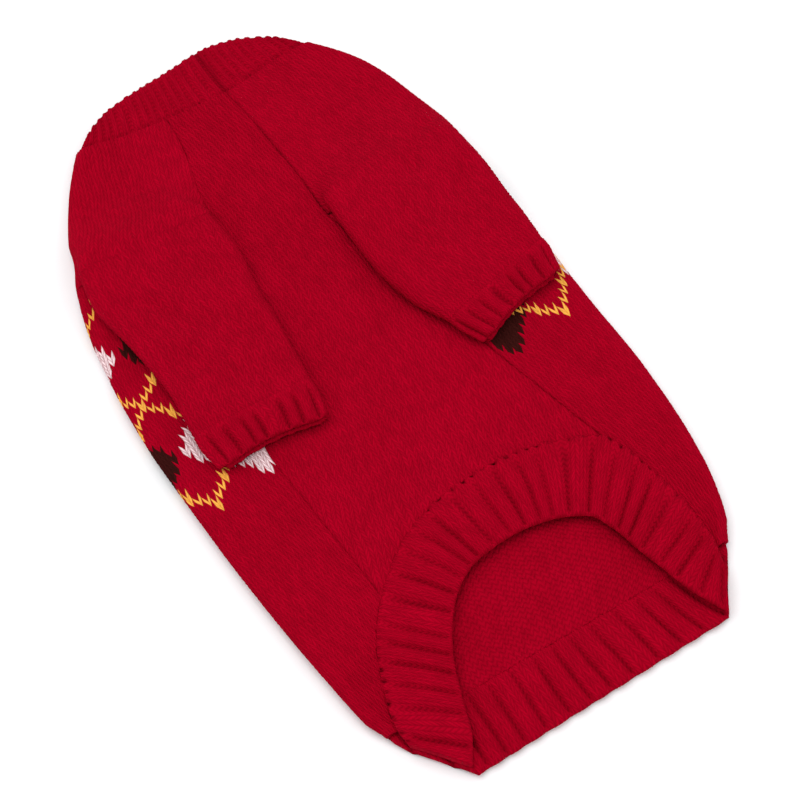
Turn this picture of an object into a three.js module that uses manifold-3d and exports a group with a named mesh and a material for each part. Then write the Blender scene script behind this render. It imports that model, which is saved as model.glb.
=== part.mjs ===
// Knitted cat sweater lying flat on its back with the belly side up.
// X runs across the garment, Y from hem to neck, Z up; the underside is at z = 0.
import * as THREE from "three";
import { mergeVertices } from "three/addons/utils/BufferGeometryUtils.js";
import Module from "manifold-3d";

const wasm = await Module();
wasm.setup();

// Cloth and layers, in millimetres
const jerseyThickness = 2.6;
const ribThickness = 3.2;
const ribProud = 0.3;
const seamGap = 0.3;
const bodyHeight = 8.6;
const sleeveHeight = 8.6;
const sleeveBase = bodyHeight + ribProud + seamGap;
const sleeveTop = sleeveBase + sleeveHeight;

// Lengths along the garment
const neckSeamY = 150;
const hemSeamY = -152;
const hemEdgeY = -179;
const underarmY = { left: 84, right: 62 };
const neckBendStart = 100;
const fanHeight = 60;
const bandEndDrop = 2.2;

// Rounded side folds
const foldWidth = { neck: 6, chest: 7, hem: 5, sleeve: 6, cap: 10 };
const foldNarrows = { from: -60, to: -140 };
const capLength = 44;
const capRise = { neck: 26, underarm: 7 };
const backNeckHalfWidth = 38;
const backRaglanInset = 12;
const neckTopNarrowing = 0.86;

// Outline of the flattened body, from neck to hem
const silhouette = [
  { y: 155, left: -56, right: 59 },
  { y: 130, left: -72.3, right: 79.3 },
  { y: 104, left: -84.2, right: 89 },
  { y: 68, left: -94.3, right: 94.3 },
  { y: 35, left: -97.8, right: 96 },
  { y: 0, left: -98, right: 96.6 },
  { y: -30, left: -95.8, right: 96 },
  { y: -74, left: -91, right: 97 },
  { y: -120, left: -84, right: 91 },
  { y: -152, left: -77, right: 80 },
  { y: -160, left: -69.5, right: 72 },
  { y: -179, left: -54, right: 62.5 },
];

// Seams between the belly panel and its neighbours, sleeves above and flanks below
const bellySeam = [
  { y: 155, left: -15.5, right: 12.5 },
  { y: 130, left: -16.5, right: 17 },
  { y: 104, left: -21.5, right: 20.5 },
  { y: 84, left: -24.5, right: 22 },
  { y: 62, left: -31, right: 22.5 },
  { y: 0, left: -51, right: 38 },
  { y: -24, left: -57.5, right: 44 },
  { y: -50, left: -55.5, right: 51 },
  { y: -80, left: -52, right: 59.5 },
  { y: -110, left: -49, right: 69 },
];

// Neck seam and top edge of the neck band, across the garment
const neckLine = [
  { x: -60, seam: 151, top: 151 },
  { x: -48, seam: 149, top: 158.5 },
  { x: -36, seam: 147, top: 165 },
  { x: -18, seam: 146, top: 169 },
  { x: 0, seam: 146, top: 172 },
  { x: 16, seam: 146.5, top: 175 },
  { x: 30, seam: 149, top: 173.5 },
  { x: 44, seam: 152, top: 168 },
  { x: 54, seam: 153.5, top: 161 },
  { x: 62, seam: 154.5, top: 154.5 },
];

// Arched rib band round the belly opening, from the left hem corner to the right one
const beltArch = [
  { outX: -70, outY: -160, inX: -54.5, inY: -178 },
  { outX: -71, outY: -150, inX: -48.5, inY: -168 },
  { outX: -67.5, outY: -136, inX: -44.5, inY: -155 },
  { outX: -62, outY: -122, inX: -39.5, inY: -141 },
  { outX: -53.5, outY: -109, inX: -33, inY: -129 },
  { outX: -42, outY: -97, inX: -25, inY: -119 },
  { outX: -28, outY: -87, inX: -15, inY: -112 },
  { outX: -10, outY: -80, inX: -4, inY: -109 },
  { outX: 8, outY: -77.5, inX: 8, inY: -108 },
  { outX: 26, outY: -77.5, inX: 19, inY: -109 },
  { outX: 44, outY: -81.5, inX: 29.5, inY: -112 },
  { outX: 61, outY: -88.5, inX: 38.5, inY: -117 },
  { outX: 66.5, outY: -97, inX: 41.5, inY: -122 },
  { outX: 70, outY: -109, inX: 44, inY: -129 },
  { outX: 72.5, outY: -122, inX: 46, inY: -137 },
  { outX: 74, outY: -136, inX: 49, inY: -147 },
  { outX: 73.8, outY: -150, inX: 53.5, inY: -161 },
  { outX: 72, outY: -160, inX: 61.5, inY: -176.5 },
];

// Folded sleeves: inner and outer edge of the flattened tube, from underarm to cuff
const sleeveLeft = [
  { inX: -24.5, inY: 84, outX: -87.5, outY: 84 },
  { inX: -22.5, inY: 62, outX: -89, outY: 65 },
  { inX: -25, inY: 38, outX: -84, outY: 40 },
  { inX: -26, inY: 14, outX: -80.5, outY: 15 },
  { inX: -27.5, inY: -10, outX: -81, outY: -10 },
  { inX: -29, inY: -29, outX: -78, outY: -28 },
];
const sleeveRight = [
  { inX: 22.5, inY: 62, outX: 92, outY: 62 },
  { inX: 21.5, inY: 43, outX: 93, outY: 48 },
  { inX: 22.8, inY: 21, outX: 93, outY: 32 },
  { inX: 27.3, inY: 2, outX: 93.2, outY: 15 },
  { inX: 36, inY: -15, outX: 91.5, outY: 0 },
  { inX: 43.5, inY: -31.5, outX: 88, outY: -17 },
];
const cuffSeamRow = 4;

// Heights along the garment at which neighbouring panels share a section
const seamHeights = [-66, -45, -24, -8, 15, 38, 50, 62, 73, 84, 94, 107, 122, 137];

// Materials
const redYarn = new THREE.MeshStandardMaterial({ color: 0xa8041f, roughness: 0.92, metalness: 0 });
const redRib = new THREE.MeshStandardMaterial({ color: 0x9c031c, roughness: 0.94, metalness: 0 });

// Value of a smooth curve through the rows of a table; keys fall or rise
function curveValue(table, key, column, at) {
  const rising = table[table.length - 1][key] > table[0][key];
  const rows = rising ? table : [...table].reverse();
  const clamped = Math.min(Math.max(at, rows[0][key]), rows[rows.length - 1][key]);
  let i = 0;
  while (i < rows.length - 2 && rows[i + 1][key] < clamped) i += 1;
  const span = rows[i + 1][key] - rows[i][key];
  const t = (clamped - rows[i][key]) / span;
  const slope = (n) => {
    const before = rows[Math.max(n - 1, 0)];
    const after = rows[Math.min(n + 1, rows.length - 1)];
    return (after[column] - before[column]) / (after[key] - before[key]);
  };
  return hermite(rows[i][column], rows[i + 1][column], slope(i) * span, slope(i + 1) * span, t);
}

function hermite(a, b, slopeA, slopeB, t) {
  const t2 = t * t;
  const t3 = t2 * t;
  return (2 * t3 - 3 * t2 + 1) * a + (t3 - 2 * t2 + t) * slopeA + (3 * t2 - 2 * t3) * b
    + (t3 - t2) * slopeB;
}

// Rows between the rows of a table, each column on a smooth curve
function refine(table, steps) {
  const indexed = table.map((row, i) => ({ ...row, index: i }));
  const columns = Object.keys(table[0]);
  const count = (table.length - 1) * steps;
  return range(0, count, count).map((n) => {
    const row = {};
    for (const column of columns) row[column] = curveValue(indexed, "index", column, n / steps);
    return row;
  });
}

// Evenly spaced values from start to end, both included
function range(start, end, steps) {
  return Array.from({ length: steps + 1 }, (unused, i) => start + ((end - start) * i) / steps);
}

function smooth(t) {
  const c = Math.min(Math.max(t, 0), 1);
  return c * c * (3 - 2 * c);
}

const edge = (y, side) => curveValue(silhouette, "y", side, y);
const seamX = (y, side) => curveValue(bellySeam, "y", side, y);
const neckSeam = (x) => curveValue(neckLine, "x", "seam", x);
const neckTop = (x) => curveValue(neckLine, "x", "top", x);
const sign = { left: -1, right: 1 };

// Width of the rounded side fold of the body at height y along the garment
function bodyFold(y) {
  const towardHem = smooth((y - foldNarrows.from) / (foldNarrows.to - foldNarrows.from));
  return foldWidth.chest + (foldWidth.hem - foldWidth.chest) * towardHem;
}

// How far the cap has risen to the folded sleeve: 1 at the underarm, 0 a cap's length above it
function capShare(y, side) {
  return smooth(1 - (y - underarmY[side]) / capLength);
}

function capHeight(y, side) {
  return bodyHeight + (sleeveTop - bodyHeight) * capShare(y, side);
}

function capFold(y, side) {
  return foldWidth.neck + (foldWidth.cap - foldWidth.neck) * capShare(y, side);
}

// Seam between back panel and sleeve on the underside
function backRaglan(y, side) {
  const reach = Math.abs(edge(underarmY[side], side)) - backRaglanInset;
  const share = (neckSeamY - y) / (neckSeamY - underarmY[side]);
  return sign[side] * (backNeckHalfWidth + (reach - backNeckHalfWidth) * share);
}

// Half ellipse of a side fold, from the lower layer to the upper one
function foldArc(side, centreX, centreZ, radiusX, radiusZ, steps) {
  return range(-Math.PI / 2, Math.PI / 2, steps).map((a) => ({
    x: centreX + sign[side] * radiusX * Math.cos(a),
    z: centreZ + radiusZ * Math.sin(a),
  }));
}

// Section of the back panel: upper left seam, left fold, underside, right fold, upper right seam
function backSection(y, ends, depth) {
  const fold = bodyFold(y);
  const points = [];
  const flank = (side) => {
    const centre = edge(y, side) - sign[side] * fold;
    const arc = foldArc(side, centre, bodyHeight / 2, fold - depth, bodyHeight / 2 - depth, 6);
    const top = range(centre, flankEnd(y, side), 2).slice(1);
    return [...arc, ...top.map((x) => ({ x, z: bodyHeight - depth }))];
  };
  const underEnd = (side) => {
    if (ends[side] === "flank") return edge(y, side) - sign[side] * fold;
    return backRaglan(y, side) - (sign[side] * seamGap) / 2;
  };
  if (ends.left === "flank") points.push(...flank("left").reverse());
  const under = range(underEnd("left"), underEnd("right"), 9);
  const inner = ends.left === "flank" ? under.slice(1) : under;
  points.push(...inner.map((x) => ({ x, z: depth })));
  if (ends.right === "flank") points.push(...flank("right").slice(1));
  return points;
}

// Where the flank stops on the upper layer: at the belly seam, lower down at the rib band
const arch = refine(beltArch, 2);
const archShoulder = { left: -34, right: 48 };
const aboveHem = arch.filter((row) => row.outY > hemSeamY - 3);
const archSide = {
  left: aboveHem.filter((row) => row.outX < archShoulder.left),
  right: aboveHem.filter((row) => row.outX > archShoulder.right),
};

function archX(y, side) {
  const rows = [...archSide[side]].sort((a, b) => a.outY - b.outY);
  let i = 0;
  while (i < rows.length - 2 && rows[i + 1].outY < y) i += 1;
  const t = (y - rows[i].outY) / (rows[i + 1].outY - rows[i].outY);
  return rows[i].outX + (rows[i + 1].outX - rows[i].outX) * t;
}

function flankEnd(y, side) {
  const reach = y > archCorner(side).outY ? seamX(y, side) : archX(y, side);
  return reach + (sign[side] * seamGap) / 2;
}

// Closed cloth wall between an outer and an inner grid of points
function wall(outer, inner, closed) {
  const rows = outer.length;
  const columns = outer[0].length;
  const positions = [...outer, ...inner].flat().flatMap((p) => [p.x, p.y, p.z]);
  const at = (layer, i, j) => (layer * rows + i) * columns + (j % columns);
  const indices = [];
  const quad = (a, b, c, d) => indices.push(a, b, c, a, c, d);
  const spans = closed ? columns : columns - 1;
  for (let i = 0; i < rows - 1; i += 1) {
    for (let j = 0; j < spans; j += 1) {
      quad(at(0, i, j), at(0, i, j + 1), at(0, i + 1, j + 1), at(0, i + 1, j));
      quad(at(1, i, j), at(1, i + 1, j), at(1, i + 1, j + 1), at(1, i, j + 1));
    }
  }
  for (let j = 0; j < spans; j += 1) {
    quad(at(0, 0, j), at(1, 0, j), at(1, 0, j + 1), at(0, 0, j + 1));
    quad(at(0, rows - 1, j), at(0, rows - 1, j + 1), at(1, rows - 1, j + 1), at(1, rows - 1, j));
  }
  if (!closed) {
    const last = columns - 1;
    for (let i = 0; i < rows - 1; i += 1) {
      quad(at(0, i, 0), at(0, i + 1, 0), at(1, i + 1, 0), at(1, i, 0));
      quad(at(0, i, last), at(1, i, last), at(1, i + 1, last), at(0, i + 1, last));
    }
  }
  const geometry = new THREE.BufferGeometry();
  geometry.setAttribute("position", new THREE.Float32BufferAttribute(positions, 3));
  geometry.setIndex(indices);
  return facingOut(geometry);
}

// Turns the triangles round when the enclosed volume comes out negative
function facingOut(geometry) {
  const p = geometry.getAttribute("position");
  const index = geometry.getIndex().array;
  const corner = (n) => new THREE.Vector3().fromBufferAttribute(p, index[n]);
  let volume = 0;
  for (let n = 0; n < index.length; n += 3) {
    volume += corner(n).dot(corner(n + 1).cross(corner(n + 2)));
  }
  if (volume > 0) return geometry;
  const turned = [];
  for (let n = 0; n < index.length; n += 3) turned.push(index[n], index[n + 2], index[n + 1]);
  geometry.setIndex(turned);
  return geometry;
}

// One body from walls that run into each other
function joined(geometries) {
  const solids = geometries.map((geometry) => {
    const merged = mergeVertices(geometry, 1e-4);
    const mesh = new wasm.Mesh({
      numProp: 3,
      vertProperties: new Float32Array(merged.getAttribute("position").array),
      triVerts: new Uint32Array(merged.getIndex().array),
    });
    return new wasm.Manifold(mesh);
  });
  const whole = solids.reduce((sum, solid) => sum.add(solid));
  const result = whole.getMesh();
  const geometry = new THREE.BufferGeometry();
  geometry.setAttribute("position", new THREE.Float32BufferAttribute(result.vertProperties, 3));
  geometry.setIndex(Array.from(result.triVerts));
  return geometry;
}

// A length of back panel between two heights, each side a wrapped flank or a raglan edge
function backLength(heights, ends) {
  const grid = (depth) => heights.map((y) => backSection(y, ends, depth)
    .map((p) => ({ ...p, y: y + neckShift(y, p.x) })));
  return wall(grid(0), grid(jerseyThickness), false);
}

// Bends the uppermost rows to the neck seam
function neckShift(y, x) {
  const share = smooth((y - neckBendStart) / (neckSeamY - neckBendStart));
  return share * (neckSeam(x) - neckSeamY);
}

function backPanel() {
  const overlap = 0.6;
  const lowest = hemSeamY + seamGap / 2;
  const archHeights = [...archSide.left, ...archSide.right].map((row) => row.outY);
  const flankTop = { left: underarmY.left - seamGap, right: underarmY.right - seamGap };
  const within = (low, high) => seamHeights.filter((y) => y > low + 1 && y < high - 1);
  const lower = [...archHeights.filter((y) => y > lowest + 1), ...within(lowest, flankTop.right)];
  const sorted = [lowest, ...lower.sort((p, q) => p - q), flankTop.right];
  const spaced = sorted.filter((y, i) => i === 0 || y - sorted[i - 1] > 0.4);
  const middleStart = flankTop.right - overlap;
  const middle = [middleStart, ...within(middleStart, flankTop.left), flankTop.left];
  const upperStart = flankTop.left - overlap;
  const highest = neckSeamY - seamGap / 2;
  const upper = [upperStart, ...within(upperStart, highest), highest];
  return joined([
    backLength(spaced, { left: "flank", right: "flank" }),
    backLength(middle, { left: "flank", right: "raglan" }),
    backLength(upper, { left: "raglan", right: "raglan" }),
  ]);
}

// Panel on the upper layer, from neck seam to the arched band
function bellyPanel() {
  const between = (row) => row.outX > seamX(row.outY, "left") + 0.5
    && row.outX < seamX(row.outY, "right") - 0.5;
  const lowEdge = [archCorner("left"), ...arch.filter(between), archCorner("right")];
  const straight = [neckSeamY - seamGap / 2, ...[...seamHeights].reverse()];
  const tail = [1 / 3, 2 / 3, 1];
  const across = (y, share) => {
    const left = seamX(y, "left") + seamGap / 2;
    return left + (seamX(y, "right") - seamGap / 2 - left) * share;
  };
  const lastStraight = straight[straight.length - 1];
  const columns = lowEdge.map((corner, j) => {
    const even = j / (lowEdge.length - 1);
    const low = corner.outY + seamGap / 2;
    const left = across(low, 0);
    const share = (corner.outX - left) / (across(low, 1) - left);
    const lowShare = j === 0 || j === lowEdge.length - 1 ? even : share;
    return [...straight, ...tail.map((t) => lastStraight + (low - lastStraight) * t)].map((y) => {
      const blend = smooth((lastStraight + fanHeight - y) / (lastStraight + fanHeight - low));
      const x = across(y, even + (lowShare - even) * blend);
      return { x, y: y + neckShift(y, x) };
    });
  });
  const rows = columns[0].map((unused, i) => columns.map((column) => column[i]));
  const grid = (depth) => rows.map((row) => row.map((p) => ({ ...p, z: bodyHeight - depth })));
  return wall(grid(0), grid(jerseyThickness), false);
}

// Point where the belly seam runs into the band
function archCorner(side) {
  const heights = range(beltArch[8].outY - 6, beltArch[4].outY - 6, 310);
  const y = heights.find((at) => Math.abs(archX(at, side)) >= Math.abs(seamX(at, side)));
  return { outX: seamX(y, side) - (sign[side] * seamGap) / 2, outY: y + seamGap };
}

// Rib band round the opening, dipping onto the hem rib at both ends
function bellyRib() {
  const last = arch.length - 1;
  const grid = (depth) => arch.map((row, i) => {
    const fromEnd = Math.min(i, last - i) / 3;
    const drop = bandEndDrop * (1 - smooth(fromEnd));
    return range(0, 1, 4).map((v) => {
      const width = Math.hypot(row.inX - row.outX, row.inY - row.outY);
      const share = (seamGap / 2 + (width - seamGap / 2) * v) / width;
      return {
        x: row.outX + (row.inX - row.outX) * share,
        y: row.outY + (row.inY - row.outY) * share,
        z: bodyHeight + ribProud - drop - depth,
      };
    });
  });
  return wall(grid(0), grid(ribThickness), false);
}

// Straight rib along the back hem
function hemRib() {
  const heights = [hemSeamY - seamGap / 2, -156, -160, -166, -172, hemEdgeY];
  const grid = (z) => heights.map((y) => range(edge(y, "left") + 0.4, edge(y, "right") - 0.4, 12)
    .map((x) => ({ x, y, z })));
  return wall(grid(0), grid(ribThickness), false);
}

// Section of a sleeve above the underarm: back raglan, underside, outer fold, cap, front raglan
function capSection(y, side, depth) {
  const height = capHeight(y, side);
  const fold = capFold(y, side);
  const centre = edge(y, side) - sign[side] * fold;
  const front = seamX(y, side) + (sign[side] * seamGap) / 2;
  const back = backRaglan(y, side) + (sign[side] * seamGap) / 2;
  const under = range(back, centre, 3).slice(0, -1).map((x) => ({ x, z: depth }));
  const arc = foldArc(side, centre, height / 2, fold - depth, height / 2 - depth, 8);
  const riseWidth = capRise.neck + (capRise.underarm - capRise.neck) * capShare(y, side);
  const across = range(0, 1, 8).slice(1).map((t) => centre + (front - centre) * (1 - (1 - t) ** 2));
  const top = across.map((x) => {
    const rise = smooth((Math.abs(x) - Math.abs(front)) / riseWidth);
    return { x, z: bodyHeight + (height - bodyHeight) * rise - depth };
  });
  return [...under, ...arc, ...top];
}

function sleeveCap(side) {
  const above = seamHeights.filter((y) => y > underarmY[side] + 1);
  const heights = [underarmY[side], ...above, neckSeamY - seamGap / 2];
  const grid = (depth) => heights.map((y) => capSection(y, side, depth)
    .map((p) => ({ ...p, y: y + neckShift(y, p.x) })));
  return wall(grid(0), grid(jerseyThickness), false);
}

// Ring of a flattened sleeve between its inner and outer edge
function tubeRing(row, depth) {
  const length = Math.hypot(row.outX - row.inX, row.outY - row.inY);
  const fold = foldWidth.sleeve;
  const half = sleeveHeight / 2;
  const points = [];
  const arc = (centre, start) => range(start, start + Math.PI, 7).forEach((a) => points.push({
    s: centre + (fold - depth) * Math.cos(a),
    z: half + (half - depth) * Math.sin(a),
  }));
  arc(length - fold, -Math.PI / 2);
  range(length - fold, fold, 5).slice(1, -1).forEach((s) => points.push({ s, z: sleeveHeight - depth }));
  arc(fold, Math.PI / 2);
  range(fold, length - fold, 5).slice(1, -1).forEach((s) => points.push({ s, z: depth }));
  return points.map(({ s, z }) => ({
    x: row.inX + ((row.outX - row.inX) * s) / length,
    y: row.inY + ((row.outY - row.inY) * s) / length,
    z: sleeveBase + z,
  }));
}

function tube(rows, outerDepth, innerDepth) {
  const grid = (depth) => rows.map((row) => tubeRing(row, depth));
  return wall(grid(outerDepth), grid(innerDepth), true);
}

// Sleeve rows split at the cuff seam, with the seam's gap between the two lengths
function splitSleeve(table) {
  const fine = refine(table, 2);
  const seam = cuffSeamRow * 2;
  const moved = (row, share, toward) => {
    const result = {};
    for (const key of Object.keys(row)) result[key] = row[key] + (toward[key] - row[key]) * share;
    return result;
  };
  const step = Math.hypot(fine[seam].inX - fine[seam + 1].inX, fine[seam].inY - fine[seam + 1].inY);
  const arm = [...fine.slice(0, seam), moved(fine[seam], seamGap / 2 / step, fine[seam - 1])];
  const cuff = [moved(fine[seam], seamGap / 2 / step, fine[seam + 1]), ...fine.slice(seam + 1)];
  return { arm, cuff };
}

function sleeve(side, table) {
  const overlap = 1;
  const { arm } = splitSleeve(table);
  const start = { ...arm[0], inY: arm[0].inY + overlap, outY: arm[0].outY + overlap };
  const shifted = { ...start, inX: start.inX + sign[side] * seamGap };
  return joined([sleeveCap(side), tube([shifted, ...arm], 0, jerseyThickness)]);
}

function cuff(table) {
  return tube(splitSleeve(table).cuff, -ribProud, ribThickness - ribProud);
}

// Neck band: a flattened rib tube from the neck seam to its arched top edge
function neckBand() {
  const y = neckSeamY;
  const fold = foldWidth.neck;
  const ring = (depth) => {
    const half = bodyHeight / 2;
    const centre = { left: edge(y, "left") + fold, right: edge(y, "right") - fold };
    const arc = (side) => foldArc(side, centre[side], half, fold - depth, half - depth, 7);
    const top = range(centre.right, centre.left, 12).slice(1, -1);
    const under = range(centre.left, centre.right, 12).slice(1, -1);
    return [
      ...arc("right"),
      ...top.map((x) => ({ x, z: bodyHeight - depth })),
      ...arc("left").reverse(),
      ...under.map((x) => ({ x, z: depth })),
    ];
  };
  const grid = (depth) => range(0, 1, 4).map((v) => ring(depth).map((p) => {
    const narrowed = p.x * neckTopNarrowing;
    const low = neckSeam(p.x) + seamGap / 2;
    return { x: p.x + (narrowed - p.x) * v, y: low + (neckTop(narrowed) - low) * v, z: p.z };
  }));
  return wall(grid(0), grid(ribThickness), true);
}

const sweater = new THREE.Group();

function addPiece(name, geometry, material) {
  const piece = new THREE.Mesh(geometry, material);
  piece.name = name;
  sweater.add(piece);
}

addPiece("back_panel", backPanel(), redYarn);
addPiece("back_hem_rib", hemRib(), redRib);
addPiece("belly_panel", bellyPanel(), redYarn);
addPiece("belly_rib", bellyRib(), redRib);
addPiece("neck_band", neckBand(), redRib);
addPiece("sleeve_left", sleeve("left", sleeveLeft), redYarn);
addPiece("sleeve_right", sleeve("right", sleeveRight), redYarn);
addPiece("cuff_left", cuff(sleeveLeft), redRib);
addPiece("cuff_right", cuff(sleeveRight), redRib);

// Origin under the middle of the outline, on the surface that the garment lies on
const outline = new THREE.Box3().setFromObject(sweater);
const middle = outline.getCenter(new THREE.Vector3());
sweater.position.set(-middle.x, -middle.y, -outline.min.z);

export default sweater;
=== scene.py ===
import math

import bmesh
import bpy
import numpy as np
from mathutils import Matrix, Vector


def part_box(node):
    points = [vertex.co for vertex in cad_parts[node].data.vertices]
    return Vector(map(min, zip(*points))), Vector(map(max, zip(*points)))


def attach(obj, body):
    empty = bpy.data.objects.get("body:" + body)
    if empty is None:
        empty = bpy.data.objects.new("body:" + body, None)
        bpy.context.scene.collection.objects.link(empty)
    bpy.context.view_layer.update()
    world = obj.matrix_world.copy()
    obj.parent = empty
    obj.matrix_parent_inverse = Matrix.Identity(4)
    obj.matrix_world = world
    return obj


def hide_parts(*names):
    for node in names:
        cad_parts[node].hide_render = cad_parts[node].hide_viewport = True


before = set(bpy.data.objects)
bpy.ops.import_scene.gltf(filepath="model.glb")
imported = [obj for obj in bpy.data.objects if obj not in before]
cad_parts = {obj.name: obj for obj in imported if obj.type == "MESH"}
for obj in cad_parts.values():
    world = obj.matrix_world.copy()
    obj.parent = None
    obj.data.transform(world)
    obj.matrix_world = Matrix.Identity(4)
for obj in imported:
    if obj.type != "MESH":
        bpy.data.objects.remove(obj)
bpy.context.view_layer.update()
bpy.ops.object.select_all(action="DESELECT")
print("frame loaded")

# All sizes below are in millimetres, in the garment's own frame: X across, Y from hem to neck, Z up.
# Wales are the columns of stitches and courses are their rows.
millimetre = 0.001
farAway = 99  # distance from a seam for the points that no seam is near

knit = {
    "wale": 3.3,
    "course": 2.42,
    "legRise": 1.4,  # courses that a loop's leg climbs from the middle of its wale to the side
    "knitDepth": 0.6,
    "purlDepth": 0.55,
    "jersey": 2.6,  # thickness of the plain cloth
    "rib": 3.2,
    "ribProud": 0.3,
    "gap": 0.3,
    "lap": 0.25,  # how far a panel's edge runs in under its seam
}


def curve(keys, values, at):  # smooth curve through a few points, level beyond them
    order = np.argsort(keys)
    keys = np.array(keys, float)[order]
    values = np.array(values, float)[order]
    before = np.maximum(np.arange(len(keys)) - 1, 0)
    after = np.minimum(np.arange(len(keys)) + 1, len(keys) - 1)
    slopes = (values[after] - values[before]) / (keys[after] - keys[before])
    at = np.clip(np.asarray(at, float), keys[0], keys[-1])
    i = np.clip(np.searchsorted(keys, at, side="right") - 1, 0, len(keys) - 2)
    span = keys[i + 1] - keys[i]
    t = (at - keys[i]) / span
    return (
        (2 * t**3 - 3 * t**2 + 1) * values[i]
        + (t**3 - 2 * t**2 + t) * slopes[i] * span
        + (3 * t**2 - 2 * t**3) * values[i + 1]
        + (t**3 - t**2) * slopes[i + 1] * span
    )


def smooth(t):
    t = np.clip(t, 0, 1)
    return t * t * (3 - 2 * t)


def spread(start, end, step):  # even values from start to end, about a step apart
    return np.linspace(start, end, max(int(round(abs(end - start) / step)), 1) + 1)


def lineLength(points):  # from the line's first point to each of its points
    return np.insert(np.cumsum(np.linalg.norm(np.diff(points, axis=0), axis=1)), 0, 0)


def runOn(*parts):  # joins runs that share their end values
    return np.concatenate([parts[0]] + [part[..., 1:] for part in parts[1:]], axis=-1)


# Outline and seams of the body, shared by several pieces

sideSign = {"left": -1, "right": 1}
body = {
    "height": 8.6,
    "neckSeamY": 150,
    "hemSeamY": -152,
    "hemEdgeY": -179,
    "hemRibX": -76.542,  # leftmost point of the CAD hem rib
    "underarmY": {"left": 84, "right": 62},
    "armRise": 0.1,  # the flanks end this far above the underarms
    "neckBendY": 100,  # from here up, the courses bend to the neck seam
    # width of the rounded side folds at the chest and at the hem, and where it changes
    "foldChest": 7,
    "foldHem": 5,
    "foldChestY": -60,
    "foldTaper": 80,
    "bandFromY": -80,  # below this the flanks may end at the band round the opening
    "outline": {
        "y": (155, 130, 104, 68, 35, 0, -30, -74, -120, -152, -160, -179),
        "left": (-56, -72.3, -84.2, -94.3, -97.8, -98, -95.8, -91.4, -84.6, -77.6, -71, -54),
        "right": (59, 79.3, 89, 94.3, 95.7, 95.9, 96, 97, 92.4, 82, 75.5, 62.5),
    },
    "bellySeam": {
        "y": (155, 130, 104, 84, 62, 0, -24, -50, -80, -110),
        "left": (-15.5, -16.5, -21.5, -24.5, -31, -51, -57.5, -55.5, -52, -49),
        "right": (13.5, 16.8, 19.2, 20.4, 21.2, 38, 44, 51, 59.5, 69),
    },
    "neckX": (-60, -48, -36, -18, 0, 16, 30, 44, 54, 62),
    "neckSeam": (151, 149, 147, 146, 146, 146.5, 149, 152, 153.5, 154.5),
    "neckTop": (151, 158.5, 165, 169, 172, 175, 173.5, 168, 161, 154.5),
    "ripple": 0.5,
    "cornerDrop": 0.3,  # share of the height lost towards the hem corners
    "cornerPull": 1.6,
    "puckerDepth": 0.45,
    "puckerReach": 3.5,
    "puckersBelow": -60,
    # painted shade along the raglan seams, on the belly and the sleeves
    "seamShade": {"left": 0.1, "right": 0.2},
    "seamRadius": {"left": 0.7, "right": 1.6},
    # soft creases of the upper layer: from x, y to x, y, bow, width, depth
    "creases": (
        (-20, 96, -14, 40, 2, 7, -0.9),
        (14, 120, 22, 84, -2, 5, -0.7),
        (30, 44, 14, -6, -3, 8, -1.2),
        (40, -18, 10, -22, 3, 5, -0.8),
        (-34, -20, -6, -58, 5, 10, 0.9),
        (4, 30, -18, -30, -6, 12, 0.8),
        (30, -30, 36, -72, 4, 9, 0.7),
        (-64, -44, -40, -92, -4, 9, -0.9),
        (-80, -66, -62, -128, 4, 7, 0.8),
        (72, -40, 82, -100, 3, 8, -0.8),
        (58, -44, 86, -58, -2, 6, 0.6),
        (84, -20, 88, -84, 2, 5, 0.7),
        (-12, 142, 8, 126, 2, 6, -0.6),
        (-30, -64, 20, -70, 3, 6, -0.6),
    ),
}
bandArch = {
    "outX": (-70, -71, -67.5, -62, -53.5, -42, -28, -10, 8, 26, 44, 61, 66.5, 70, 72.5, 74, 73.8, 72),
    "outY": (-160, -150, -136, -122, -109, -97, -87, -80, -77.5, -77.5, -81.5, -88.5, -97, -109,
             -122, -136, -150, -160),
    "inX": (-54.5, -48.5, -44.5, -39.5, -33, -25, -15, -4, 8, 19, 29.5, 38.5, 41.5, 44, 46, 49,
            53.5, 61.5),
    "inY": (-178, -168, -155, -141, -129, -119, -112, -109, -108, -109, -112, -117, -122, -129,
            -137, -147, -161, -176.5),
    "pitch": 8.8,
    # where the outer edge counts as its left side, its right side and its top
    "leftSideX": -30,
    "rightSideX": 44,
    "topY": -125,
    "topHalfWidth": 68,
    # points along the arch for its edge, its ribs and the puckers round it
    "edgeSteps": 600,
    "ribSteps": 900,
    "puckerSteps": 400,
}


def edge(y, side):
    return curve(body["outline"]["y"], body["outline"][side], y)


def seamX(y, side):
    return curve(body["bellySeam"]["y"], body["bellySeam"][side], y)


def neckSeam(x):
    return curve(body["neckX"], body["neckSeam"], x)


def neckShift(y, x):  # bends the uppermost courses to the neck seam
    share = smooth((y - body["neckBendY"]) / (body["neckSeamY"] - body["neckBendY"]))
    return share * (neckSeam(x) - body["neckSeamY"])


def bodyFold(y):
    share = smooth((body["foldChestY"] - y) / body["foldTaper"])
    return body["foldChest"] + (body["foldHem"] - body["foldChest"]) * share


def archAt(t):  # outer and inner edge of the band, t counted in the table's steps
    steps = np.arange(len(bandArch["outX"]))
    return {name: curve(steps, bandArch[name], t) for name in ("outX", "outY", "inX", "inY")}


archLast = len(bandArch["outX"]) - 1
archLine = archAt(np.linspace(0, archLast, bandArch["edgeSteps"]))


def archX(y, side):  # where the band's outer edge crosses a height, left or right
    if side == "left":
        keep = archLine["outX"] < bandArch["leftSideX"]
    else:
        keep = archLine["outX"] > bandArch["rightSideX"]
    lineX, lineY = archLine["outX"][keep], archLine["outY"][keep]
    order = np.argsort(lineY)
    return np.interp(y, lineY[order], lineX[order])


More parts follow.
